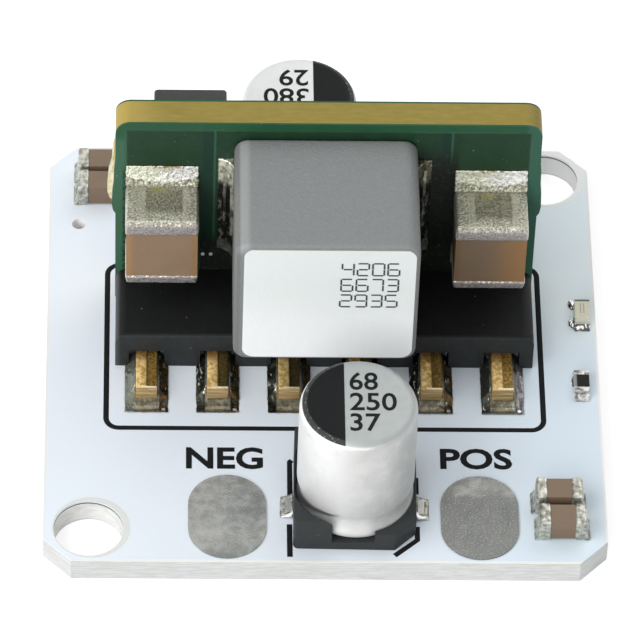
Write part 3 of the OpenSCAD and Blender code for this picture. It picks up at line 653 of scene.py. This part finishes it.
green = Look("green_board", (44, 82, 58), 0.3, specular=0.2)
sideways = green.off(green.x, module_mid)
upright = green.z
depthwise = green.y
pour_half = module_half - pour_margin
inside = green.times(green.fade(sideways, pour_half + 0.05, pour_half - 0.05),
                     green.fade(upright, module_top - 0.3, module_top - 0.42))
channel = green.most(green.band(green.x, -4.18, 0.18, 0.02), green.band(green.x, 4.2, 0.14, 0.02))
channel_rim = green.most(green.band(green.x, -3.95, 0.03, 0.02), green.band(green.x, 4.4, 0.03, 0.02))
film_tone = green.cloudy((34, 82, 54), (44, 94, 64), 1.5, 3.0)
film_tone = green.mix(green.times(green.fade(green.x, -7.0, -7.2), green.fade(upright, 9.8, 9.2)),
                      film_tone, (64, 106, 82))
film_tone = green.blend(green.x, 6.9, 7.2, film_tone, (54, 98, 80))
pour = green.cloudy((28, 56, 38), (40, 70, 48), 2.0, 4.0)
pour = green.mix(channel, pour, (26, 58, 46))
pour = green.mix(channel_rim, pour, (52, 92, 70))
# Painted shade: the pour beside the inductor core is painted dark grey, mottled.
shade_mottle = green.patches(0.5, 0.8, 7.0, 4.0, rough=0.7)
shade_left = green.times(green.band(green.x, -3.8, 0.6, 0.04), green.fade(upright, 4.9, 4.0))
shade_right = green.times(green.band(green.x, 3.9, 0.74, 0.08), green.fade(upright, 9.6, 7.8))
front_side = green.fade(green.y, 2.5, 2.4)
painted_shade_beside_core = green.times(green.most(shade_left, shade_right), front_side)
pour = green.mix(painted_shade_beside_core, pour, green.mix(shade_mottle, (30, 34, 30), (66, 70, 64)))
face = green.mix(inside, film_tone, pour)
dirt_x = -7.12
dirt = green.times(green.band(green.x, dirt_x, 0.05, 0.06),
                   green.patches(0.4, 0.6, 11.0, 4.0, rough=0.75))
dirt = green.times(dirt, green.times(green.fade(upright, 8.1, 7.7), front_side))
face = green.mix(dirt, face, (26, 32, 26))
via_x, via_z = (-4.32, -4.03), 3.48
via_pair = green.most(green.band(green.x, via_x[0], 0.01, 0.09), green.band(green.x, via_x[1], 0.01, 0.09))
via_pair = green.times(via_pair, green.band(upright, via_z, 0.02, 0.1))
vias = green.times(green.fade(via_pair, 0.15, 0.6), front_side)
face = green.mix(vias, face, (204, 208, 202))
face = green.mix(green.specks(3.2, 0.08), face, (170, 176, 166))
fibres = green.noise(2.0, 3.0, stretch=(1.0, 5.0, 1.0), rough=0.5)
ochre = green.blend(fibres, 0.2, 0.8, (144, 129, 62), (157, 141, 72))
# Painted light: the ochre edges are painted lighter towards the left end.
ochre = green.blend(green.x, -5.5, -7.4, ochre, (182, 160, 86))
cream = green.blend(green.noise(5.0, 4.0), 0.35, 0.65, (206, 196, 160), (232, 226, 200))
torn = green.fade(sideways, module_half + 0.03, module_half + 0.08)
core_tone = green.mix(torn, ochre, cream)
film = 0.06
edge = green.times(green.fade(depthwise, module_front + film, module_front + film + 0.03),
                   green.fade(depthwise, module_back - film, module_back - film - 0.03))
green.colour(green.mix(edge, face, core_tone))
green.rough(green.math("MULTIPLY_ADD", edge, 0.25, 0.28))
green.bump(inside, 0.02)
green.grit(0.012, 9.0, 3.0)
dress(green, "module_board")


# ---- inductor core ----
# Iron powder pressed to a block with rounded edges, its front face painted
# white for the lot numbers. A painted highlight runs along its upper left edge,
# and its side faces carry painted shade.

core_low, core_high = in_mm(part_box("inductor_core"))
powder = Look("pressed_powder", (138, 141, 141), 0.55, 0.15, specular=0.35)
tone = powder.cloudy((124, 127, 127), (145, 148, 148), 9.0, 5.0, rough=0.7)
# A painted highlight along the core's upper left edge.
shoulder_highlight = powder.times(powder.fade(powder.x, core_low.x + 0.62, core_low.x + 0.4),
                        powder.fade(powder.z, core_high.z - 0.55, core_high.z - 0.3))
tone = powder.mix(shoulder_highlight, tone, (164, 166, 166), 0.7)
# Painted shade on the core's side faces.
flank_shade = powder.fade(powder.math("ABSOLUTE", powder.x), core_high.x - 0.14, core_high.x - 0.04)
tone = powder.mix(flank_shade, tone, (118, 120, 118), 0.8)
powder.colour(powder.mix(powder.specks(5.0, 0.12), tone, (176, 178, 178)))
powder.grit(0.03, 14.0, 4.0)

core = eased("inductor_core", "inductor_block", 0.12, segments=4)
core_back_out = 0.09
for vertex in core.data.vertices:
    if vertex.co.y > core_high.y * MM / 2:
        vertex.co.y += core_back_out * MM
reskin(core, 0.065, 8)
roughen(core, 0.12, 0.018, "powder")
fit(core, powder, ("inductor_core",))

label_low = (-2.95, core_low.y - 0.02, 3.84)
label_high = (3.03, core_low.y + 0.02, 9.47)
white = Look("label_paint", (235, 240, 239), 0.5, specular=0.3)
top_line = white.fade(white.z, label_high[2] - 0.03, label_high[2] - 0.01)
# Painted light: the label is painted whiter towards its foot, against the can's shadow.
tone = white.blend(white.z, 8.0, 4.2, (235, 240, 239), (253, 255, 255))
white.colour(white.mix(top_line, tone, (176, 168, 152)))
white.grit(0.01, 6.0, 3.0)


def plate(name, low, high, radius):
    """A thin upright plate on the X-Z plane with rounded corners."""
    outline = []
    for x, z, start in ((high[0] - radius, low[2] + radius, -90), (high[0] - radius, high[2] - radius, 0),
                        (low[0] + radius, high[2] - radius, 90), (low[0] + radius, low[2] + radius, 180)):
        outline += arc(x, z, radius, start, start + 90)
    count = len(outline)
    faces = [tuple(range(count)), tuple(reversed(range(count, 2 * count)))]
    faces += [((k + 1) % count, k, k + count, (k + 1) % count + count) for k in range(count)]
    mesh = bpy.data.meshes.new(name)
    mesh.from_pydata([(x * MM, y * MM, z * MM) for y in (low[1], high[1]) for x, z in outline], [], faces)
    return new_piece(name, mesh)


label_round = 0.42
fit(plate("inductor_label", label_low, label_high, label_round), white)

# The lot numbers: plain digits whose strokes stop short of each other.
SEGMENTS = {"0": "abcdef", "1": "bc", "2": "abged", "3": "abgcd", "4": "fgbc",
            "5": "afgcd", "6": "afgedc", "7": "abc", "8": "abcdefg", "9": "abcdfg"}
ends_of = {"a": ((0.15, 1), (0.85, 1)), "b": ((1, 0.92), (1, 0.58)), "c": ((1, 0.42), (1, 0.08)),
           "d": ((0.15, 0), (0.85, 0)), "e": ((0, 0.42), (0, 0.08)), "f": ((0, 0.92), (0, 0.58)),
           "g": ((0.2, 0.5), (0.8, 0.5))}
stroke = 0.062
digit_w, digit_h = 0.4, 0.62
digit_step, row_step = 0.53, 0.82
row_lean, digit_thick = 0.02, 0.02
grey_ink = Look("grey_ink", (70, 72, 74), 0.6, specular=0.2)


def digit_rows(name, rows, x, z, y):
    """Rows of thin digits on an upright face, from their upper left corner."""
    strokes = []
    for line, row in enumerate(rows):
        for place, figure in enumerate(row):
            for part in SEGMENTS[figure]:
                (x0, z0), (x1, z1) = ends_of[part]
                left = x + place * digit_step - line * row_lean
                foot = z - digit_h - line * row_step
                middle = (left + (x0 + x1) / 2 * digit_w, y, foot + (z0 + z1) / 2 * digit_h)
                long_w = abs(x1 - x0) * digit_w + stroke
                long_h = abs(z1 - z0) * digit_h + stroke
                bpy.ops.mesh.primitive_cube_add(size=MM, location=Vector(middle) * MM)
                bar = bpy.context.object
                bar.scale = (long_w, digit_thick, long_h)
                strokes.append(bar)
    piece = strokes[0]
    join(piece, strokes[1:])
    piece.name = name
    settle(piece)
    return piece


fit(digit_rows("inductor_digits", ("4206", "6673", "2935"), 0.46, 8.8, label_low[1]), grey_ink)


# ---- inductor terminals ----
# Tinned copper straps that leave the core's back and turn up its sides, in
# solder that is bright at the top and dark below.

strap = Look("tinned_strap", (150, 150, 142), 0.35, 0.7)
dulled = strap.noise(4.0, 4.0, stretch=(1.0, 1.0, 0.7), rough=0.6)
low_tone = strap.blend(dulled, 0.4, 0.65, (46, 47, 42), (140, 141, 132))
high_tone = strap.blend(dulled, 0.3, 0.6, (150, 146, 124), (214, 213, 200))
strap.colour(strap.blend(strap.z, 7.1, 7.7, low_tone, high_tone))
strap.bump(dulled, 0.05)
dress(strap, "inductor_terminal_left", "inductor_terminal_right")
weld = Look("strap_solder", (150, 150, 140), 0.3, 0.6)
blot = weld.noise(5.0, 3.0, stretch=(1.6, 1.0, 0.7), rough=0.55)
lift = weld.fade(weld.z, 7.2, 7.7)
dim = weld.blend(blot, 0.52, 0.72, (38, 40, 36), (150, 152, 142))
foot_glint = weld.fade(weld.z, 4.5, 4.2)
dim = weld.mix(foot_glint, dim, (150, 152, 140), 0.5)
bright = weld.blend(blot, 0.3, 0.6, (168, 158, 122), (240, 240, 228))
olive = weld.blend(blot, 0.4, 0.65, (84, 82, 64), (140, 138, 118))
bright = weld.blend(weld.x, 0.0, 1.0, bright, olive)
weld.colour(weld.mix(lift, dim, bright))
weld.bump(blot, 0.05)
fit(cast("inductor_solder", "inductor_joint", 0.035, 0.2, 0.05), weld,
    ("inductor_solder",))


# ---- large ceramic capacitors ----
# Taupe ceramic with fired and plated end caps, standing on the upright board.
# The solder climbs the upper cap in a bright, pitted band.

ceramic = Look("taupe_ceramic", (146, 121, 97), 0.42, specular=0.3)
ceramic.colour(ceramic.cloudy((138, 112, 88), (154, 130, 106), 1.2, 3.0))
ceramic.grit(0.01, 9.0, 3.0)


def fired_ceramic(hand, middle, half):
    """Taupe ceramic that turns to orange along its upright edges, the right one painted darker as the
    inductor's shade.
    """
    look = Look(f"{hand}_ceramic", (143, 119, 95), 0.42, specular=0.3)
    # Painted shade: the right capacitor's tones are darker, in the inductor's shade, and lighten towards
    # its right end.
    deep, pale, edge_tone = (((138, 114, 90), (152, 127, 102), (176, 132, 84)) if hand == "left"
                             else ((112, 93, 73), (126, 106, 84), (120, 90, 60)))
    tone = look.cloudy(deep, pale, 1.2, 3.0)
    left = look.fade(look.x, middle - half + 0.35, middle - half + 0.1)
    tone = look.mix(left, tone, edge_tone, 0.7)
    if hand == "left":
        right = look.times(look.fade(look.x, middle + half - 0.4, middle + half - 0.1), 0.6)
    else:
        right = look.times(look.fade(look.x, middle - 0.2, middle + half - 0.1), 0.8)
    look.colour(look.mix(right, tone, (152, 112, 68)))
    look.grit(0.01, 9.0, 3.0)
    return look


def plated_caps(hand, middle, half, front, low, high):
    """Matt plated ends: a darker square in the end face, painted glints along its front edge."""
    look = Look(f"{hand}_end_caps", (150, 150, 136), 0.36, 0.55)
    x, y, z = look.x, look.y, look.z
    pits = look.noise(14.0, 2.0, rough=0.6)
    # A darker square in the middle of the end face.
    tinted = look.times(look.band(x, middle + 0.08, 0.64, 0.05),
                      look.fade(look.band(y, front + 1.05, 0.3, 0.55), 0.1, 0.9))
    dark = look.mix(tinted, (136, 135, 117), (104, 102, 85))
    light = look.mix(tinted, (206, 205, 189), (160, 158, 139))
    face = look.blend(pits, 0.34, 0.66, dark, light)
    streak = look.most(look.band(x, middle + 0.82, 0.09, 0.05), look.band(x, middle - 0.72, 0.1, 0.06))
    face = look.mix(streak, face, (184, 181, 166), 0.55)
    spot = look.times(look.band(x, middle - 0.12, 0.06, 0.36), look.band(y, front + 1.54, 0.02, 0.2))
    face = look.mix(spot, face, (166, 162, 98), 0.65)
    brow = look.blend(pits, 0.35, 0.65, (142, 136, 132), (184, 178, 176))
    upright = look.fade(z, high - 0.14, high - 0.3)
    tone = look.mix(upright, face, brow)
    # Painted glints along the top cap's crest and the lower cap's lip.
    crest = look.times(look.band(z, high - 0.16, 0.06, 0.06), look.fade(y, front + 0.5, front + 0.3))
    lip = look.times(look.band(z, low + 0.41, 0.03, 0.03), look.fade(y, front + 0.1, front + 0.05))
    sparks = look.times(look.most(crest, lip), look.patches(0.5, 0.6, 8.0, 3.0, rough=0.6))
    tone = look.mix(sparks, tone, (246, 238, 224))
    sides = look.fade(look.off(x, middle), half - 0.1, half - 0.02)
    look.colour(look.mix(sides, tone, (206, 206, 196), 0.5))
    look.bump(pits, 0.04)
    return look


def bright_joint(hand, middle, half, top):
    """Bright pitted solder, with a trace of amber flux along its top."""
    look = Look(f"{hand}_bright_solder", (214, 214, 200), 0.3, 0.55)
    pores = look.noise(12.0, 3.0, rough=0.6)
    cast_tone = look.blend(look.x, middle - 0.6, middle + 0.5, (238, 240, 220), (246, 246, 246))
    tone = look.blend(pores, 0.32, 0.52, (176, 176, 158), cast_tone)
    across = look.math("DIVIDE", look.math("SUBTRACT", look.x, middle), half)
    smile = look.math("MULTIPLY_ADD", look.times(across, across), -0.2, look.z)
    dull = look.blend(pores, 0.4, 0.62, (128, 127, 108), (208, 207, 190))
    tone = look.blend(smile, top - 0.6, top - 0.7, tone, dull)
    flux = look.times(look.fade(look.z, top - 0.13, top - 0.02),
                      look.band(look.x, middle + 0.1, 0.35, 0.45))
    flux = look.times(flux, look.patches(0.4, 0.55, 7.0, 3.0, rough=0.6))
    look.colour(look.mix(flux, tone, (146, 118, 44)))
    look.bump(pores, 0.05)
    return look


for hand in ("left", "right"):
    low, high = in_mm(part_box(f"{hand}_mlcc_body"))
    caps_low, caps_high = in_mm(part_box(f"{hand}_mlcc_ends"))
    middle, half = (caps_low.x + caps_high.x) / 2, (caps_high.x - caps_low.x) / 2
    dress(fired_ceramic(hand, middle, half), f"{hand}_mlcc_body")
    cores = [((low.x, low.y, caps_high.z - 0.7), (high.x, high.y, caps_high.z - 0.02)),
             ((low.x, low.y, caps_low.z + 0.02), (high.x, high.y, caps_low.z + 0.44))]
    caps = cast(f"{hand}_mlcc_ends", f"{hand}_mlcc_caps", 0.04, 0.12, 0.03, cores, smooth=26)
    fit(caps, plated_caps(hand, middle, half, caps_low.y, caps_low.z, caps_high.z),
        (f"{hand}_mlcc_ends",))
    joint = cast(f"{hand}_mlcc_solder", f"{hand}_mlcc_joint", 0.04, 0.14, 0.06, smooth=8)
    climb = 0.2 if hand == "left" else 0.26
    for vertex in joint.data.vertices:
        rise = vertex.co.z / MM - caps_high.z
        if rise > -0.05:
            vertex.co.z += (climb * rise - 0.04) * MM
    joint_top = max(vertex.co.z for vertex in joint.data.vertices) / MM
    fit(joint, bright_joint(hand, middle, half, joint_top), (f"{hand}_mlcc_solder",))


# ---- can capacitors ----
# Drawn aluminium cans, rolled in over a rubber seal and seated in a moulded
# base. Half of the lid is printed black on the negative side.

lid_edge = 0.4


def turned(name, profile, steps=96):
    """A skin turned about the Z axis from its radii and heights."""
    mesh = bpy.data.meshes.new(name)
    mesh.from_pydata([(r * MM, 0.0, z * MM) for r, z in profile],
                     [(k, k + 1) for k in range(len(profile) - 1)], [])
    piece = new_piece(name, mesh)
    edit_all()
    bpy.ops.mesh.spin(steps=steps, angle=math.tau, center=(0, 0, 0), axis=(0, 0, 1))
    bpy.ops.mesh.select_all(action="SELECT")
    bpy.ops.mesh.remove_doubles(threshold=0.0005 * MM)
    bpy.ops.mesh.normals_make_consistent(inside=False)
    bpy.ops.object.mode_set(mode="OBJECT")
    return piece


def place_turned(piece, x, y, turn):
    """Moves a turned skin to its can, its place in the mesh."""
    piece.rotation_euler.z = turn
    piece.location = (x * MM, y * MM, 0.0)
    settle(piece)
    bpy.ops.object.shade_smooth_by_angle(angle=math.radians(40))
    return piece


def can_skin(name, x, y, foot, top, radius):
    """The drawn can: curled foot, bead groove and a rounded edge round the lid."""
    curl, groove_z, groove_r, groove_depth = 0.24, 0.78, 0.7, 0.13
    reach = math.acos((groove_r - groove_depth) / groove_r)
    profile = [(0.0, foot)]
    for k in range(7):
        angle = math.radians(-90 + 15 * k)
        profile.append((radius - curl + curl * math.cos(angle), foot + curl + curl * math.sin(angle)))
    for k in range(13):
        angle = reach * (k - 6) / 6
        profile.append((radius + groove_r - groove_depth - groove_r * math.cos(angle),
                        foot + groove_z + groove_r * math.sin(angle)))
    for k in range(9):
        angle = math.radians(11.25 * k)
        profile.append((radius - lid_edge + lid_edge * math.cos(angle),
                        top - lid_edge + lid_edge * math.sin(angle)))
    profile.append((0.0, top))
    return place_turned(turned(name, profile), x, y, 0.0)


def lid_print(name, x, y, top, radius, chord, turn):
    """The black half-moon: a thin shell over the lid's edge, cut at the chord."""
    proud = 0.012
    profile = [(0.0, top + proud), (radius - lid_edge, top + proud)]
    for k in range(1, 7):
        angle = math.radians(90 - 8 * k)
        profile.append((radius - lid_edge + (lid_edge + proud) * math.cos(angle),
                        top - lid_edge + (lid_edge + proud) * math.sin(angle)))
    piece = turned(name, profile)
    edit_all()
    bpy.ops.mesh.bisect(plane_co=(chord * MM, 0, 0), plane_no=(1, 0, 0), clear_outer=True,
                        threshold=1e-7)
    bpy.ops.object.mode_set(mode="OBJECT")
    return place_turned(piece, x, y, turn)


def can_metal(side, x, top, lid_low, lid_high):
    """Satin aluminium painted darker to the right as shade, with a duller lid, a painted rim highlight,
    painted shade under the rim and a dark arc painted in the groove.
    """
    look = Look(f"{side}_can_aluminium", (222, 223, 222), 0.48, 0.35, specular=0.3)
    away = look.math("SUBTRACT", look.x, x)
    shade = look.noise(2.0, 3.0)
    # Painted light and shade: lighter on the left and darker to the right, as the light falls from the
    # left.
    tone = look.blend(away, -1.5, 0.4, (240, 241, 240), (200, 201, 200))
    tone = look.blend(away, 0.9, 2.0, tone, (196, 198, 197))
    tone = look.blend(shade, 0.4, 0.7, tone, (226, 226, 224), 0.35)
    lid = look.cloudy(lid_low, lid_high, 3.0, 4.0)
    height = look.z
    # A painted highlight along the rim below the lid.
    rim_highlight = look.times(look.band(height, top - 0.19, 0.015, 0.04), look.patches(0.4, 0.8, 4.0, 3.0))
    tone = look.mix(look.times(rim_highlight, look.fade(away, 0.9, 0.3)), tone, (244, 244, 242))
    # Painted shade under the rim on the right.
    rim_shade = look.times(look.band(height, top - 0.14, 0.05, 0.1), look.fade(away, 0.4, 1.2))
    tone = look.mix(rim_shade, tone, (186, 190, 194), 0.7)
    # Painted shade: a dark arc in the bead groove on the left.
    groove_shade = look.band(look.math("MULTIPLY_ADD", away, -0.5, height), top - 3.55, 0.03, 0.18)
    groove_shade = look.times(groove_shade, look.fade(away, -0.45, -0.95))
    tone = look.mix(groove_shade, tone, (82, 84, 84), 0.85)
    tinted = look.times(look.band(height, top - 0.42, 0.12, 0.12),
                      look.patches(0.45, 0.7, 3.0, 4.0, rough=0.6))
    tone = look.mix(tinted, tone, (188, 193, 198), 0.35)
    look.colour(look.blend(height, top - 0.16, top - 0.1, tone, lid))
    look.grit(0.01, 10.0, 3.0, stretch=(1.0, 1.0, 0.3))
    look.grit(0.02, 2.5, 3.0)
    return look


lid_ink = Look("lid_ink", (32, 34, 35), 0.5, specular=0.15)
tone = lid_ink.cloudy((14, 16, 17), (20, 22, 23), 3.0, 3.0)
rubbed = lid_ink.fade(lid_ink.z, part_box("output_can")[1].z / MM - 0.002,
                      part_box("output_can")[1].z / MM - 0.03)
tone = lid_ink.mix(rubbed, tone, lid_ink.blend(lid_ink.noise(9.0, 3.0), 0.56, 0.72, (60, 62, 62),
                                               (140, 142, 140)))
lid_ink.colour(tone)

lid_chord = -0.5
lid_row_widths = (0.98, 1.62, 1.05)
for side, turn, rows in (("output", 0.0, ("68", "250", "37")), ("input", math.pi, ("56", "380", "29"))):
    low, high = in_mm(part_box(f"{side}_can"))
    middle = (low + high) / 2
    radius = (high.x - low.x) / 2
    # Painted shade: the output can's lid is painted darker than the input can's.
    lid_low, lid_high = (((168, 173, 172), (182, 187, 186)) if side == "output"
                         else ((224, 227, 226), (236, 238, 237)))
    fit(can_skin(f"{side}_can_skin", middle.x, middle.y, low.z, high.z, radius),
        can_metal(side, middle.x, high.z, lid_low, lid_high), (f"{side}_can",))
    fit(lid_print(f"{side}_lid_print", middle.x, middle.y, high.z, radius, lid_chord, turn), lid_ink)
    sign = 1 if turn == 0.0 else -1
    for line, (figures, width) in enumerate(zip(rows, lid_row_widths)):
        lettering(f"{side}_lid_row_{line + 1}", figures, middle.x + sign * -0.32,
                  middle.y + sign * (0.54 - 0.93 * line), high.z, width, 0.8, lid_ink, turn=turn,
                  bold=0.012)

moulding = Look("base_plastic", (54, 58, 58), 0.5, specular=0.15)
tone = moulding.cloudy((48, 51, 52), (58, 61, 62), 3.0, 4.0)
moulding.colour(moulding.mix(moulding.specks(4.0, 0.1), tone, (120, 122, 120)))
moulding.grit(0.015, 18.0, 3.0)
lead_metal = Look("tinned_lead", (178, 178, 174), 0.36, 0.9)
lead_metal.grit(0.02, 9.0, 3.0)
seam = Look("lead_solder", (150, 150, 146), 0.34, 0.8)
lead_blot = seam.noise(6.0, 3.0, rough=0.55)
lead_tone = seam.blend(lead_blot, 0.36, 0.64, (84, 84, 72), (164, 164, 154))
light_tone = seam.blend(lead_blot, 0.36, 0.64, (122, 124, 116), (196, 198, 192))
lead_tone = seam.blend(seam.x, 0.0, -1.0, lead_tone, light_tone)
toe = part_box("output_can_solder")[0].y / MM
# A painted glint at the front toe of each joint.
toe_glint = seam.times(seam.fade(seam.y, toe + 0.26, toe + 0.12), seam.fade(seam.z, 1.05, 1.12))
seam.colour(seam.mix(toe_glint, lead_tone, (248, 248, 246)))
seam.bump(lead_blot, 0.04)
for side in ("output", "input"):
    fit(eased(f"{side}_can_base", f"{side}_base_moulded", 0.04), moulding,
        (f"{side}_can_base",))
    dress(lead_metal, f"{side}_can_leads")
    fit(cast(f"{side}_can_solder", f"{side}_lead_joints", 0.03, 0.14, 0.02, smooth=36), seam,
        (f"{side}_can_solder",))


# ---- small ceramic capacitors ----
# The same taupe ceramic in small: two at each side of the carrier board.

chip_metal = Look("chip_end_metal", (200, 200, 192), 0.3, 0.6)
pits = chip_metal.noise(5.0, 3.0, rough=0.55)
chip_metal.colour(chip_metal.blend(pits, 0.3, 0.65, (118, 118, 106), (206, 206, 196)))
chip_metal.bump(pits, 0.03)


def small_ceramic(name, amber):
    """A small chip's ceramic, warmer towards its foot where another chip shades it."""
    look = Look(name, (130, 112, 94), 0.42, specular=0.3)
    tone = look.cloudy((124, 106, 88), (136, 117, 98), 1.2, 3.0)
    low_part = look.fade(look.z, board_top + 0.66, board_top + 0.5)
    look.colour(look.mix(look.times(low_part, amber), tone, (104, 62, 26)))
    look.grit(0.01, 9.0, 3.0)
    return look


front_ceramic, rear_ceramic = small_ceramic("open_ceramic", 0.1), small_ceramic("shaded_ceramic", 0.75)
rear_chips = [max((f"{side}_chip_1", f"{side}_chip_2"), key=lambda name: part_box(f"{name}_body")[0].y)
              for side in ("output", "input")]
for name in [f"{side}_chip_{k}" for side in ("output", "input") for k in (1, 2)]:
    dress(rear_ceramic if name in rear_chips else front_ceramic, f"{name}_body")
    low, high = in_mm(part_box(f"{name}_body"))
    inset = 0.36
    cores = [((low.x - 0.02, low.y, low.z), (low.x + inset, high.y, high.z)),
             ((high.x - inset, low.y, low.z), (high.x + 0.02, high.y, high.z))]
    fit(cast(f"{name}_ends", f"{name}_caps", 0.028, 0.12, 0.02, cores, smooth=5, ease=0.07), chip_metal,
        (f"{name}_ends",))


# ---- power light and its resistor ----
# A side strip of pale resin over a white base, and a chip resistor with a
# black glaze between wrapped terminals.

resin = Look("pale_resin", (206, 203, 180), 0.3)
lens_low, lens_high = in_mm(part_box("light_lens"))
lens_mid = (lens_low.x + lens_high.x) / 2
ridge = resin.most(resin.band(resin.x, lens_mid - 0.07, 0.01, 0.025),
                   resin.band(resin.x, lens_mid + 0.05, 0.01, 0.025))
ridge = resin.times(ridge, resin.band(resin.y, (lens_low.y + lens_high.y) / 2, 0.22, 0.04))
tone = resin.cloudy((206, 203, 182), (226, 224, 206), 6.0, 3.0, stretch=(1.0, 4.0, 1.0))
tone = resin.mix(ridge, tone, (128, 122, 76), 0.55)
resin.colour(resin.blend(resin.y, lens_high.y - 0.14, lens_high.y - 0.1, tone, (70, 86, 72)))
dress(resin, "light_lens")


def bead(name, x, y, long_x, long_y, tall, turn=0.0):
    """A bead of solder on the board, from its middle and its lengths."""
    bpy.ops.mesh.primitive_uv_sphere_add(segments=32, ring_count=20, radius=MM / 2)
    piece = bpy.context.object
    piece.name = name
    piece.scale = (long_x, long_y, 2 * tall)
    piece.rotation_euler.z = turn
    piece.location = (x * MM, y * MM, board_top * MM)
    settle(piece)
    roughen(piece, 0.1, 0.04, name)
    return fit(piece, bead_metal)


bead_metal = Look("solder_bead", (130, 132, 124), 0.14, 0.9)
# Painted glints: the beads are painted dark with white patches.
bead_glints = bead_metal.noise(6.0, 2.0, stretch=(1.5, 0.6, 1.0))
bead_metal.colour(bead_metal.blend(bead_glints, 0.44, 0.58, (84, 86, 82), (250, 250, 250)))
bead("light_bead_1", 9.05, 2.2, 0.32, 0.46, 0.13, 0.1)
bead("light_bead_2", 9.06, 1.34, 0.36, 0.46, 0.16, -0.5)
bead("light_bead_3", 9.3, 1.1, 0.52, 0.24, 0.16, 0.0)
bead("resistor_bead", 8.97, -1.45, 0.14, 0.5, 0.1, 0.0)
dress(Look("white_ceramic", (222, 222, 216), 0.5), "light_base", "resistor_body")
glaze = Look("black_glaze", (26, 25, 25), 0.45, specular=0.15)
glaze_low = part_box("resistor_glaze")[0] / MM
glaze.colour(glaze.blend(glaze.x, glaze_low.x + 0.12, glaze_low.x + 0.06, (26, 25, 25), (150, 150, 146)))
dress(glaze, "resistor_glaze")
bright_end = Look("bright_end", (190, 190, 187), 0.3, 0.7)
end_blot = bright_end.noise(5.0, 3.0, rough=0.55)
bright_end.colour(bright_end.blend(end_blot, 0.36, 0.6, (98, 99, 96), (204, 204, 201)))
bright_end.bump(end_blot, 0.04)
dress(bright_end, "resistor_ends")
dark_end = Look("dark_end", (84, 86, 82), 0.25, 0.7)
# Painted glints: white patches on the dark ends.
dark_end.colour(dark_end.blend(dark_end.noise(4.0, 2.0, stretch=(2.0, 0.7, 1.0)), 0.56, 0.64,
                               (90, 92, 88), (246, 246, 244)))
dress(dark_end, "light_ends")


# ---- parts behind the upright board ----
# The converter chip, two input capacitors and the feedback resistors.

chip_black = Look("chip_mould", (52, 54, 54), 0.55)
chip_black.colour(chip_black.cloudy((37, 40, 36), (52, 55, 50), 4.0, 4.0))
chip_black.grit(0.015, 18.0, 3.0)
dress(chip_black, "feedback_chips_body")
fit(eased("converter_ic", "converter_mould", 0.09), chip_black, ("converter_ic",))
dress(seam, "converter_ic_pads", "feedback_chips_ends")
dress(ceramic, "rear_mlcc_1_body", "rear_mlcc_2_body")
dress(chip_metal, "rear_mlcc_1_ends", "rear_mlcc_2_ends")


# ---- studio ----
# A pale floor and sky, soft lights from the left and the front, and a weaker one
# from the right rear. The camera looks down on the output side.

bpy.ops.mesh.primitive_plane_add(size=1.2, location=(0, 0, 0))
floor = bpy.context.object
floor.name = "studio_floor"
ground = Look("pale_floor", (255, 255, 255), 0.9, specular=0.0)
ground.colour((0.93, 0.93, 0.93))
floor_rays = ground.tree.nodes.new("ShaderNodeLightPath")
floor_seen = ground.most(floor_rays.outputs["Is Camera Ray"], floor_rays.outputs["Is Glossy Ray"])
ground.put(ground.shader.inputs["Emission Color"], (1.0, 1.0, 1.0))
ground.put(ground.shader.inputs["Emission Strength"], ground.times(floor_seen, 0.44))
floor.data.materials.append(ground.material)

world = bpy.data.worlds.new("studio_sky")
bpy.context.scene.world = world
world.use_nodes = True
sky = world.node_tree.nodes["Background"]
sky.inputs["Color"].default_value = (1.0, 1.0, 1.0, 1.0)
rays = world.node_tree.nodes.new("ShaderNodeLightPath")
seen = world.node_tree.nodes.new("ShaderNodeMath")
seen.operation = "MAXIMUM"
world.node_tree.links.new(rays.outputs["Is Camera Ray"], seen.inputs[0])
world.node_tree.links.new(rays.outputs["Is Glossy Ray"], seen.inputs[1])
level = world.node_tree.nodes.new("ShaderNodeMapRange")
world.node_tree.links.new(seen.outputs[0], level.inputs["Value"])
level.inputs["To Min"].default_value = 0.42
level.inputs["To Max"].default_value = 1.0
world.node_tree.links.new(level.outputs[0], sky.inputs["Strength"])


def soft_light(name, place, size, watts):
    """A square lamp that faces the module."""
    lamp = bpy.data.lights.new(name, "AREA")
    lamp.size = size
    lamp.energy = watts
    holder = bpy.data.objects.new(name, lamp)
    bpy.context.collection.objects.link(holder)
    holder.location = place
    holder.rotation_euler = (-Vector(place)).to_track_quat("-Z", "Y").to_euler()


soft_light("key_light", (-0.16, -0.06, 0.17), 0.16, 0.26)
soft_light("front_light", (-0.09, -0.21, 0.13), 0.18, 0.25)
soft_light("rear_light", (0.12, 0.15, 0.21), 0.2, 0.15)

azimuth, elevation, roll = (math.radians(v) for v in (-2.54, 48.75, 2.31))
back = Vector((math.sin(azimuth) * math.cos(elevation), -math.cos(azimuth) * math.cos(elevation),
               math.sin(elevation)))
level_right = Vector((math.cos(azimuth), math.sin(azimuth), 0.0))
level_up = back.cross(level_right)
right = math.cos(roll) * level_right + math.sin(roll) * level_up
up = -math.sin(roll) * level_right + math.cos(roll) * level_up
target = Vector((-0.058, 1.414, 1.0)) * MM
lens = bpy.data.cameras.new("camera")
lens.sensor_width = 36.0
lens.lens = 345.234375
lens.clip_start = 0.01
lens.clip_end = 10.0
camera = bpy.data.objects.new("camera", lens)
bpy.context.collection.objects.link(camera)
camera_off = 221.36
facing = Matrix((right, up, back)).transposed().to_4x4()
camera.matrix_world = Matrix.Translation(target + back * camera_off * MM) @ facing
bpy.context.scene.camera = camera
bpy.context.scene.view_settings.view_transform = "Standard"
